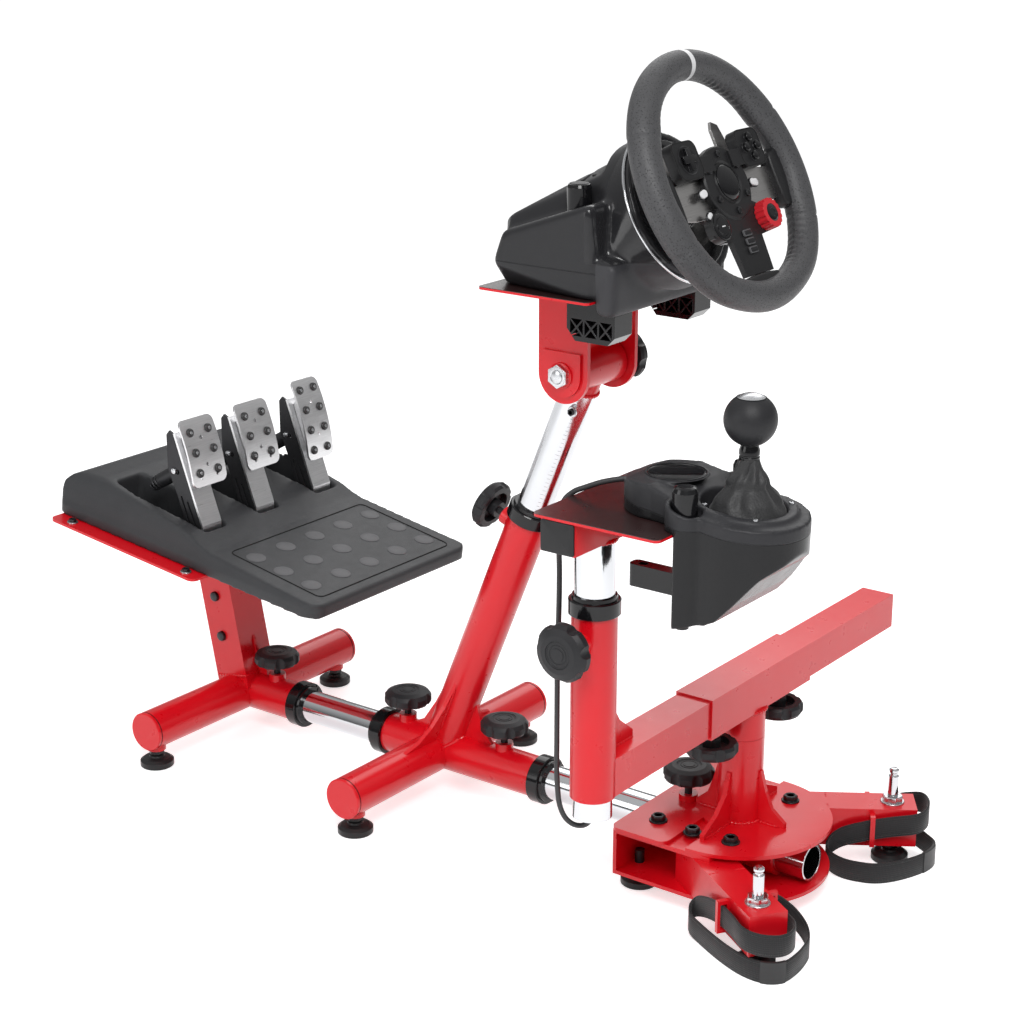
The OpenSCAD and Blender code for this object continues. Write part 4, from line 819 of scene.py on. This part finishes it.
def makeHubDetails():
    # slots: gloss, oxide, white, pale dot and dark seam
    shape = Shape()
    # gloss centre cap, a low dome with a fine step round it
    shape.lathe(wheel, [(17.6, 0.4), (17.6, 3.0), (16.9, 3.7), (14, 4.9), (10, 5.9), (5, 6.5), (0.3, 6.7)],
                96, 0)
    # six screws on the ring round the cap
    r, first, count = hub["screws"]
    for a in range(count):
        c, s = wave(first + a * 360 / count)
        capScrew(shape, wheel.at(r * c, r * s, 2), 3.5, 2.5, 1, 4)
    # four round buttons on the right pod, the cross on the left one
    x, y, z = hub["pod"]
    right, left = wheel.at(x, y, z), wheel.at(-x, y, z)
    for a in range(4):
        c, s = wave(a * 90)
        button = right.at(9.6 * c, 9.6 * s, 0)
        shape.lathe(button, [(5.3, -0.2), (5.3, 0.5), (4.7, 0.7)], 40, 1)
        shape.lathe(button, [(4.6, 0), (4.6, 3.6), (4.1, 4.2), (2.2, 4.7), (0.2, 4.8)], 40, 0)
    cross = np.array([(3.7, 3.7), (3.7, 11), (-3.7, 11), (-3.7, 3.7), (-11, 3.7), (-11, -3.7), (-3.7, -3.7),
                      (-3.7, -11), (3.7, -11), (3.7, -3.7), (11, -3.7), (11, 3.7)], float)
    shape.lathe(left, [(14.2, -0.4), (14.2, 0.5), (13.6, 0.8), (12.4, 0.3)], 72, 1)
    shape.slab(left, cross, 0, 3.9, 0.5, 0)
    # oval buttons beside the ring, one more by the lower left knob
    for x, y, w, l, turn in hub["ovals"]:
        place = wheel.at(x, y, 0.2).turned("z", turn)
        shape.slab(place, roundedBox(w + 2, l + 2, l / 2 + 0.9), -1.5, 0.5, 0.3, 1)
        shape.slab(place, roundedBox(w, l, l / 2 - 0.1), 0, 2.0, 0.7, 2)
    # round key on the lower left with two half-moon presses
    key = wheel.at(*hub["roundKey"])
    shape.lathe(key, [(13.2, -1), (13.2, 0.6), (12.4, 1.2), (9.8, 1.2), (9.2, 0.5), (8.6, 1.6), (3, 2.0),
                      (0.3, 2.0)], 72, 0)
    shape.slab(key.at(0, 0, 1.8), roundedBox(6, 1.0, 0.4), 0, 0.35, 0.1, 2)
    # the dial's black centre
    shape.lathe(wheel.at(*hub["dialTop"]), [(8.9, -0.8), (8.9, 0.8), (8.2, 1.4), (4.4, 1.7), (4.2, 1.2),
                                            (0.3, 1.2)], 64, 0)
    # three small keys on the lower spoke, each with a pale rim
    count, first, step = hub["keys"]
    for k in range(count):
        place = wheel.at(0, first + k * step, 2.3)
        shape.slab(place, roundedBox(13.6, 6.3, 1.4), -1.5, 0.35, 0.15, 3)
        shape.slab(place, roundedBox(11.6, 4.4, 0.9), 0, 0.95, 0.3, 1)
    # trim line round each pod's top
    for pod in (left, right):
        shape.tube(pod, level(roundedBox(40, 36, 8)), 0.45, 8, closed=True, slot=4)
    makePiece("hub_controls", shape, "steering_wheel", [gloss, oxide, whitePlastic, liftedPlastic, seamTrim])


makeRim()
makeHubDetails()


def makeHousingTrim():
    shape = Shape()
    # bright arc round the nose's left edge, ending in a thicker tip
    c, s = wave(np.linspace(118, 262, 60))
    u = np.linspace(0, 1, 60)
    path = np.stack((77.4 * c, 77.4 * s, np.full(60, -62.0)), -1)
    shape.tube(wheel, path, 1.3 + 1.2 * np.clip(u * 4 - 3, 0, 1) + 0.4 * np.sin(u * math.pi), 12, slot=0)
    # dark seat behind the wheel and the shaft's boss
    shape.lathe(wheel.at(0, 0, -57), [(66, -1), (66, 1.4), (64.5, 2.2), (40, 2.6), (38, 1.4), (24, 1.4),
                                      (22, 4), (17, 5), (16.4, 4.6)], 96, 1)
    # vents in the roof
    for k in range(3):
        place = deck.at(-34, -48 + k * 14, 116.4 - k * 6.3).turned("x", -24)
        shape.slab(place, roundedBox(23, 3.4, 1.4), -4, -0.4, 0.4, 2)
    # clamp knobs: ribbed cap on each screw
    for mirror in (-1, 1):
        place = deck.at(mirror * 72, -37, 72)
        shape.lathe(place.at(0, 0, 33), [(9.6, 0), (9.6, 0.7), (8.6, 1.1), (0.3, 1.1)], 48, 3)
    makePiece("housing_trim", shape, "wheel_stand", [chrome, gloss, seamTrim, knobPlastic])
    # bolts of the yoke: a silver hexagon on its red pad at the left, four screws under the deck
    bolts = Shape()
    left = tilt.at(-48, 0, 0).turned("y", -90)
    bolts.lathe(left, [(13.5, -0.3), (13.5, 1.6), (12.6, 2.2), (8, 2.2)], 64, 1)
    hexBolt(bolts, left.at(0, 0, 2.2), 21.4, 6.6, 0, 0)
    bolts.lathe(left.at(0, 0, 7), [(6.4, -1), (6.4, 1.2), (5.6, 1.7), (0.3, 1.9)], 40, 0)
    for x, y in ((-24, -18), (24, -18), (-24, 18), (24, 18)):
        capScrew(bolts, deck.at(x, y, -8).turned("x", 180), 4.2, 3.2, 2, 2)
    makePiece("yoke_bolts", bolts, "wheel_stand", [brightSteel, red, oxide])


makeHousingTrim()
print("stage: wheel made")


# Knobs: moulded recess, rings and cap on every star knob.
knob = {"top": 20.0, "rings": [(12.6, -0.4), (12.6, 0.5), (11.6, 0.5), (11.4, 0.15), (9.4, 0.15), (9.2, 0.6),
                               (8.5, 0.6), (8.3, 0.2), (6.3, 0.2), (6.1, 0.7), (2.6, 0.9), (0.3, 0.9)]}


def makeKnobTops():
    # rings stand in the recess of each knob's top, with a press-fit cap at the middle;
    # for each body: the foot of each knob's stud, and how far the knob stands on it
    riding = {
        "pedal_frame": [(floor.at(0, 793, 19), 19.4)],
        "mid_frame": [(floor.at(0, 452, 19), 19.4), (floor.at(0, 590, 19), 19.4),
                      (column.at(0, 19, 308).turned("x", -90), 19.5)],
        "rear_frame": [(floor.at(0, 211, 19), 29)],
        "swing_sleeve": [(floor.at(x, postY, 152.7).turned("x", 180), 15.2) for x in (-60, 70)],
        "shifter_arm": [(floor.at(armX - 18.5, postY, 308).turned("y", -90), 18)],
        "wheel_stand": [(tilt.at(49, 0, 0).turned("y", 90), 6)],
    }
    for body, places in riding.items():
        shape = Shape()
        for spot, stud in places:
            shape.lathe(spot.at(0, 0, stud + knob["top"]), knob["rings"])
        makePiece(body + "_knob_tops", shape, body, [knobPlastic])


makeKnobTops()
print("stage: knobs finished")


# Frame: weld beads and bolts.
def makeFrameDetails():
    front = Shape()
    for x in (-24, 24):
        beadLine(front, stem, (x, -24, 22), (x, 24, 22), 1.7)
    for y in (-24, 24):
        beadLine(front, stem, (-24, y, 22.4), (24, y, 22.4), 1.7)
    for z, y in ((118.5, 867.6), (69.7, 858.9)):
        capScrew(front, floor.at(-24, y, z).turned("y", -90), 6.0, 4.2, 1, 1)
        capScrew(front, floor.at(24, y, z).turned("y", 90), 6.0, 4.2, 1, 1)
    for x in (-140, 140):
        for s in (186, 372):
            hexBolt(front, pedals.at(x, s, 0), 8, 3.4, 6.5, 1, 2)
    makePiece("front_welds_and_bolts", front, "pedal_frame", [red, oxide, brightSteel])

    mid = Shape()
    # where the leaning tube, of radius r, meets the round sleeve, of radius barR: the curve on both
    psi = np.arange(240) * 1.5
    c, s = wave(psi)
    lean = math.radians(columnLean)
    r, barR = 23.4, 22.9
    t = (np.sqrt(np.maximum(barR ** 2 - (r * c) ** 2, 0)) - r * s * math.sin(lean)) / math.cos(lean)
    path = np.stack((r * c, r * s, np.maximum(t, barR - 40)), -1)
    mid.tube(column, path, 1.9 * (1 + 0.16 * np.sin(psi * 0.42)), 8, closed=True, slot=0)
    for x in (-30, 30):
        beadLine(mid, column, (x, -2.6, 6), (x * 2.5, -2.6, 6), 1.2)
        beadLine(mid, column, (x * 0.8, -2.6, 96), (x * 0.8, -2.6, 40), 1.1)
    makePiece("mid_welds", mid, "mid_frame", [red])

    mast = Shape()
    beadRing(mast, column.at(0, 0, 489), 19.3, 1.8, 34)
    makePiece("mast_weld", mast, "column", [red])

    rear = Shape()
    beadRing(rear, floor.at(0, postY, 29.4), 23.4, 2.0, 40)
    for a, reach in ((0, 70), (90, 48), (180, 70), (270, 48)):
        for y in (2.9, -2.9):
            beadLine(rear, floor.at(0, postY, 0).turned("z", a), (25, y, 29.6), (reach, y, 29.6), 1.2)
    for x, y in ((62, 208), (65, 165), (60, 123)):
        for mirror in (-1, 1):
            hexBolt(rear, floor.at(mirror * x, y, 29), 13, 5.4, 9.5, 1, 1)
    for side in (-1, 1):
        for x in (-14, 14):
            beadLine(rear, leg(side, 181), (x - 6, -2, 20.2), (x + 6, -2, 20.2), 1.2)
        hexBolt(rear, leg(side, 252).at(0, 0, 21), 19, 6.6, 12.5, 2, 2)
    makePiece("rear_welds_and_bolts", rear, "rear_frame", [red, oxide, brightSteel])

    sleeve = Shape()
    beadRing(sleeve, floor.at(0, postY, 150.2), 23.2, 1.8, 40)
    makePiece("sleeve_weld", sleeve, "swing_sleeve", [red])

    arm = Shape()
    # the black plug that closes the square arm's right end, and the gusset's two beads
    arm.slab(floor.at(288, postY, 171.5).turned("y", 90), roundedBox(37.0, 37.0, 3), -1.0, 0.8, 0.6, 1)
    for y in (3.0, -3.0):
        beadLine(arm, floor.at(armX, postY, 0), (21, y, 190.6), (62, y, 190.6), 1.2)
    makePiece("arm_plugs_and_welds", arm, "shifter_arm", [red, footPlastic])

    stand = Shape()
    stand.slab(floor.at(-326, postY, 417).turned("y", -90), roundedBox(29, 35, 2.5), -1.0, 2.0, 0.9, 1)
    beadRing(stand, floor.at(armX, postY, 401.6), 18.9, 1.6, 34)
    makePiece("stand_plugs_and_welds", stand, "shifter_stand", [red, footPlastic])


makeFrameDetails()
print("stage: welds and bolts set")


# Pedals.
pedalSet = {
    # for each face: place across, width, foot and head as (along, height), and the rows of studs
    "clutch": (-83, 53, (207, 86), (239, 158), (0.2, 0.5, 0.8)),
    "brake": (6, 53, (207, 86), (239, 158), (0.2, 0.5, 0.8)),
    "throttle": (106, 44, (204, 74), (243, 164), (0.12, 0.37, 0.62, 0.87)),
}
faceBow, pivot = 220.0, (252, 92)
spring = {"radius": 7.6, "wire": 1.25, "turns": 7.5, "long": 40, "lean": -127}


def makePedalDetails():
    for name, (x, w, low, high, rows) in pedalSet.items():
        body = name + "_pedal"
        shape = Shape()
        lean = math.degrees(math.atan2(high[0] - low[0], high[1] - low[1]))
        long = math.hypot(high[0] - low[0], high[1] - low[1])
        face = pedals.at(x, low[0], low[1]).turned("x", -lean)
        for v in rows:
            for u in (-0.27, 0.27):
                z = long * v
                back = -(math.sqrt(faceBow ** 2 - (z - long / 2) ** 2) - faceBow + 3)
                stud = face.at(w * u, back, z).turned("x", 90)
                shape.lathe(stud, [(5.2, -0.6), (5.2, 0.8), (4.9, 1.7), (3.8, 2.5), (2.0, 2.9), (0.3, 3.0)],
                            40, 0)
                shape.lathe(stud.at(0, 0, 2.6), [(1.9, 0), (1.8, 0.55), (0.3, 0.6)], 20, 1)
        # a coil spring round the strut: a wire carried along a helix
        strut = pedals.at(x, *pivot).turned("x", spring["lean"])
        turn = np.linspace(0, spring["turns"], 7 * 28)
        c, s = wave(turn * 360)
        r = spring["radius"]
        path = np.stack((r * c, r * s, 16 + turn / spring["turns"] * spring["long"]), -1)
        shape.tube(strut, path, spring["wire"], 10, slot=2)
        # pivot caps on the outer faces of the cheeks
        for mirror in (-1, 1):
            capScrew(shape, pedals.at(x + mirror * 15, *pivot).turned("y", mirror * 90), 3.6, 2.2, 1, 1)
        makePiece(name + "_studs_and_spring", shape, body, [rubber, brightSteel, oxide])


def makeEndGrooves():
    # a thin dark ring where each bar's end cap meets the tube
    for body, y in (("pedal_frame", 841.5), ("mid_frame", 540.9)):
        shape = Shape()
        for mirror in (-1, 1):
            end = floor.at(mirror * 173, y, 0).turned("y", mirror * 90)
            shape.hoop(end.at(0, 0, -4.8), [(22.0, -0.38), (22.0, 0.38), (22.85, 0.38), (22.85, -0.38)])
        makePiece(body + "_end_seams", shape, body, [seamTrim])


heel = {
    "middle": (8.5, 84, 21.5),
    "rise": 9 / 162,
    "border": (228, 138, 8),
    "dots": (5, 3),
    "steps": (49.5, 42.0),
}


def makeHeelPad():
    # heel rest: a thin sunk border and rows of pale round dots on the sloping floor
    shape = Shape()
    pad = pedals.at(*heel["middle"]).turned("x", math.degrees(math.atan(heel["rise"])))
    edge = roundedBox(*heel["border"])
    across, along = heel["dots"]
    stepX, stepY = heel["steps"]
    shape.tube(pad, level(edge, 0.15), 0.75, 8, closed=True, slot=1)
    for i in range(across):
        for j in range(along):
            place = pad.at((i - across // 2) * stepX, (j - along // 2) * stepY, 0)
            shape.lathe(place, [(11.4, -0.6), (11.4, 0.35), (10.7, 0.75), (5, 0.95), (0.3, 1.0)], 48, 0)
    makePiece("heel_pad", shape, "pedal_frame", [liftedPlastic, seamTrim])


makePedalDetails()
makeHeelPad()
makeEndGrooves()
print("stage: pedals finished")


# Shifter.
gearKnob = {"radius": 23.0, "middle": 91.0, "capAngle": 33}


def makeShifterDetails():
    shape = Shape()
    # blank badge on the round top, a bright rim round it
    badge = shifter.at(0, 72, 31.6)
    shape.lathe(badge, [(25.6, -0.6), (25.6, 0.5), (24.8, 0.9), (23.6, 0.5), (0.4, 0.5)], 96, 0)
    shape.hoop(badge, [(27.6, 0.2), (27.6, 1.2), (26.6, 1.4), (26.2, 1.2), (26.2, 0.2)], 96, 1)
    # gaiter ring's screws
    ringSpot = shifter.at(0, 0, 13).turned("x", 5)
    for a in (40, 140, 220, 320):
        c, s = wave(a)
        capScrew(shape, ringSpot.at(39.0 * c, 39.0 * s, 3.9), 2.3, 1.2, 2, 3)
    for mirror in (-1, 1):
        shape.lathe(shifter.at(mirror * 49, 32, 10), [(13.6, 0.2), (13.6, 1.4), (12.2, 1.8), (11.4, 1.0)],
                    64, 1)
    makePiece("shifter_trim", shape, "shifter_stand", [gloss, oxide, brightSteel, seamTrim])
    # the lever: shaft, collar with two grooves, ball, and the pale cap let into the ball's top
    lever = Shape()
    r, mid = gearKnob["radius"], gearKnob["middle"]
    lever.lathe(shifter, [(4.2, -31), (4.2, 44), (5.9, 50), (5.9, 54), (8.6, 55), (9.0, 56.5), (9.0, 59),
                          (8.3, 59.5), (8.3, 60.5), (9.0, 61), (9.0, 65), (8.0, 67.5), (7.6, 70.2)], 64, 0)
    c, s = wave(np.linspace(161, gearKnob["capAngle"], 44))
    lever.lathe(shifter, np.stack((r * s, mid + r * c), -1), 96, 3)
    c, s = wave(np.linspace(gearKnob["capAngle"], 1, 10))
    lever.lathe(shifter, np.stack((r * s * 0.985, mid + r * c + 0.1), -1), 72, 1)
    lever.hoop(shifter, [(12.2, 110.2), (12.6, 110.7), (12.9, 110.4), (12.6, 109.8)], 72, 2)
    makePiece("gear_knob", lever, "lever", [gloss, capSteel, seamTrim, knobPlastic], 38,
              ["gear_lever"])


gaiter = {
    "folds": 9, "low": 8.0, "split": 33.0, "top": 57.0, "wall": 1.6,
    "height": (8, 12, 16, 21, 27, 33, 39, 45, 50, 54, 57),
    "radius": (33.2, 33, 30.5, 27, 22.5, 18.5, 16, 13.2, 11.2, 9.8, 9.0),
    "sags": ((24, 6, 1.6), (40, 4, 1.2)),
}


def makeGaiter():
    # a leather skirt: radius falls with height, waves of folds run up it, twisting a little;
    # an outer and an inner skin make one closed wall
    z = np.linspace(gaiter["low"], gaiter["top"], 60)
    r = np.interp(z, gaiter["height"], gaiter["radius"])
    psi = np.arange(180) * 2.0
    share = np.clip((z - 10) / 12, 0, 1) * np.clip((gaiter["top"] - z) / 14, 0.25, 1)
    twist = psi[None] + 26 * np.sin(z / 17)[:, None]
    fine, broad, cross = (wave(a)[0] for a in (twist * gaiter["folds"], twist * 4 + 40, psi * 3 + z[:, None] * 7))
    share = share * (1 - 0.45 * hump(z, gaiter["split"], 6))
    fold = (1.5 * fine + 2.0 * broad + 0.9 * cross * fine) * share[:, None]
    sag = sum(deep * hump(z, middle, wide) for middle, wide, deep in gaiter["sags"])
    outer = (r + sag)[:, None] + fold
    c, s = wave(psi)

    def wall(rows, name):
        zs = z[rows]
        skin = outer[rows]
        inner = skin - gaiter["wall"]
        both = np.concatenate((skin, inner[::-1]))
        rise = np.concatenate((zs, zs[::-1]))
        points = np.stack((both * c, both * s, np.broadcast_to(rise[:, None], both.shape)), -1)
        shape = Shape().grid(shifter, points, wrapRows=True, caps=False)
        made = makePiece(name, shape, None, [bootLeather], 80, ["boot"])
        start, end = shifter((0, 0, zs[0])), shifter((0, 0, zs[-1]))
        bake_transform(made)

    half = int(np.searchsorted(z, gaiter["split"]))
    wall(slice(0, half + 1), "gaiter_skirt")
    wall(slice(half, None), "gaiter_neck")


makeShifterDetails()
makeGaiter()
print("stage: shifter finished")


# Straps.
strap = {
    "width": 23.0, "thick": 2.2,
    # the sewn overlap: route point where it starts, thickness, length
    "sewnLeft": (17, 3.6, 26), "sewnRight": (20, 3.6, 28),
    "left": [(-25.5, 0, 0), (-25, -20, 0), (-25, -44, -1), (-15, -59, -2.5), (2, -66, -3.5), (17, -62, -3.5),
             (27, -48, -2.5), (27, -24, -1), (25.5, 0, 0), (27.5, 10, -1), (35, 14, -4), (44, 8, -9),
             (52, -5, -16), (56, -18, -25), (53, -30, -31.5), (44, -40, -33.5), (29, -53, -33.5),
             (11, -63, -33.5), (-4, -61, -33.5), (-15, -51, -33.5), (-23, -35, -33.5), (-28.5, -14, -33.5),
             (-32, 9, -33.5), (-34.5, 30, -33), (-37, 46, -30.5), (-34.5, 55, -25), (-29, 54, -17),
             (-26.5, 40, -10), (-25.5, 20, -4)],
    "right": [(25.5, 0, 0), (26.5, -22, 5), (26, -45, 9), (18, -57, 12), (1, -61, 12), (-16, -57, 10),
              (-25.5, -45, 7.5), (-25.5, -22, 4), (-25.5, 0, 0), (-27, 11, -2), (-27.5, 23, -5), (-27, 34, -10),
              (-28.5, 43, -17), (-33, 47, -25), (-40, 42, -31), (-49, 30, -33.5), (-56, 15, -33.5),
              (-59, -1, -33.5), (-55, -18, -33.5), (-45, -37, -33.5), (-32, -54, -33.5), (-18, -65, -33.5),
              (-3, -69, -33.5), (10, -63, -32), (22, -52, -28), (32, -37, -22), (39, -20, -16), (42, -3, -11),
              (40, 10, -6), (33, 15, -3), (27.5, 9, -1)],
}


def band(path, across, section):
    # the section set at each point of a path: its first value sideways, its second upwards
    return path[:, None] + section[None, :, :1] * across[:, None] + section[None, :, 1:] * np.array((0, 0, 1.0))


def makeStraps():
    # a flat band carried on its edge along each loop, slightly rounded at its edges
    w, t = strap["width"] / 2, strap["thick"] / 2
    section = np.array([(-t, -w + 0.6), (-t, w - 0.6), (-t * 0.5, w), (t * 0.5, w), (t, w - 0.6), (t, -w + 0.6),
                        (t * 0.5, -w), (-t * 0.5, -w)])
    section = section[::-1]
    shape = Shape()
    for side, route, sewn in ((-1, strap["left"], strap["sewnLeft"]), (1, strap["right"], strap["sewnRight"])):
        path = roundRoute(route, 10, closed=True)
        way = np.roll(path, -1, 0) - np.roll(path, 1, 0)
        across = np.stack((way[:, 1], -way[:, 0], np.zeros(len(way))), -1)
        across /= np.linalg.norm(across, axis=1, keepdims=True)
        steps = np.linalg.norm(np.diff(path, axis=0, append=path[:1]), axis=1)
        along = np.cumsum(steps) / 1000
        points = band(path, across, section)
        lay = np.stack(np.broadcast_arrays(along[:, None], section[None, :, 1] / 1000), -1)
        turn = np.sum(path[:, 0] * np.roll(path[:, 1], -1) - path[:, 1] * np.roll(path[:, 0], -1))
        order = slice(None) if turn > 0 else slice(None, None, -1)
        shape.grid(leg(side, 229), points[order], wrapRows=True, caps=False, lay=lay[order])
        # the sewn overlap: a short thicker stretch of the same band
        place, thick, long = sewn
        i = place * 10
        some = slice(i, i + int(long / max(steps[i], 1.0)) + 2)
        fat = section * np.array((thick / strap["thick"], 1.03))
        block = band(path[some], across[some], fat)
        lay = np.stack(np.broadcast_arrays(along[some, None], fat[None, :, 1] / 1000), -1)
        shape.grid(leg(side, 229), block, caps=True, slot=1, lay=lay)
    makePiece("strap_webbing_loops", shape, "rear_frame", [webbing, rubber], 50, ["straps"])


makeStraps()
print("stage: straps made")


# Scale on the column's mast.
scale = {"marks": 29, "pitch": 5.0, "long": 5.5, "short": 3.2, "radius": 18.93, "line": 0.15,
         "around": -math.pi / 2 - 0.9}


def makeScale():
    # marks up the mast's side, longer at each fifth
    shape = Shape()
    place = column.at(0, 0, 340)
    r, skin = scale["radius"], 19.05
    for k in range(scale["marks"]):
        half = (scale["long"] if k % 5 == 0 else scale["short"]) / skin / 2
        a = np.linspace(-half, half, 5) + scale["around"]
        path = np.stack((r * np.cos(a), r * np.sin(a), np.full(5, k * scale["pitch"])), -1)
        shape.tube(place, path, scale["line"], 5, slot=0)
    hexBolt(shape, floor.at(-19, 350, 430).turned("y", -90), 7.0, 3.0, 5.6, 1, 2)
    makePiece("mast_scale", shape, "column", [seamTrim, oxide, brightSteel])


makeScale()
print("stage: scale cut")


# Floor and light.
studio = {
    "floorColour": (0.86, 0.86, 0.865),
    "floorGlow": 0.60,
    "floorHalf": 30000.0,
    "horizon": 0.10,
    "zenith": 0.62,
    "lamps": [
        # name, place in mm from the datum, size in m, power in W
        ("key_softbox", (-1500, -900, 2300), 1.1, 44),
        ("front_softbox", (-2300, 1300, 1100), 1.2, 12),
        ("far_softbox", (1800, 1300, 1900), 1.8, 20),
    ],
}


def makeStudio():
    ground = Finish("studio_floor", studio["floorColour"], 0.9)
    ground.shades(ground.grain(2, 2), 1.0, 1.02)
    seen = [ground.node("LightPath", out="Is " + ray + " Ray") for ray in ("Camera", "Glossy", "Transmission")]
    lift = ground.sum("MINIMUM", seen[0] + seen[1] + seen[2], 1.0)
    ground.feed("Emission Color", ground.mix(lift, (0, 0, 0), (studio["floorGlow"],) * 3))
    ground.shader.inputs["Emission Strength"].default_value = 1.0
    half = studio["floorHalf"]
    corners = ((-half, -half), (half, -half), (half, half), (-half, half))
    data = bpy.data.meshes.new("studio_floor")
    data.from_pydata([tuple(floor((x, y, floorZ - 0.05))) for x, y in corners], [], [(0, 1, 2, 3)])
    data.materials.append(ground.material)
    intoScene("studio_floor", data)
    # the sky grows brighter with height; to the camera it is plain white
    world = bpy.data.worlds.new("studio")
    bpy.context.scene.world = world
    sky = Graph(world)
    height = sky.node("SeparateXYZ", {0: sky.node("TexCoord", out="Generated")}, out="Z")
    rise = sky.node("MapRange", {"Value": height, "From Max": 0.7, "To Min": studio["horizon"],
                                 "To Max": studio["zenith"]})
    strength = sky.node("Mix", {0: sky.node("LightPath", out="Is Camera Ray"), 2: rise, 3: 1.0})
    back = sky.tree.nodes["Background"]
    back.inputs["Color"].default_value = (1, 1, 1, 1)
    sky.tree.links.new(strength.socket, back.inputs["Strength"])
    for name, spot, size, power in studio["lamps"]:
        lamp = bpy.data.lights.new(name, "AREA")
        lamp.shape, lamp.size, lamp.energy = "SQUARE", size, power
        made = intoScene(name, lamp)
        made.location = Vector(floor(spot))
        aim = Vector(floor((0, 400, 300))) - made.location
        made.rotation_euler = aim.to_track_quat("-Z", "Y").to_euler()
    bpy.context.scene.view_settings.view_transform = "Standard"


makeStudio()
print("stage: studio lit")
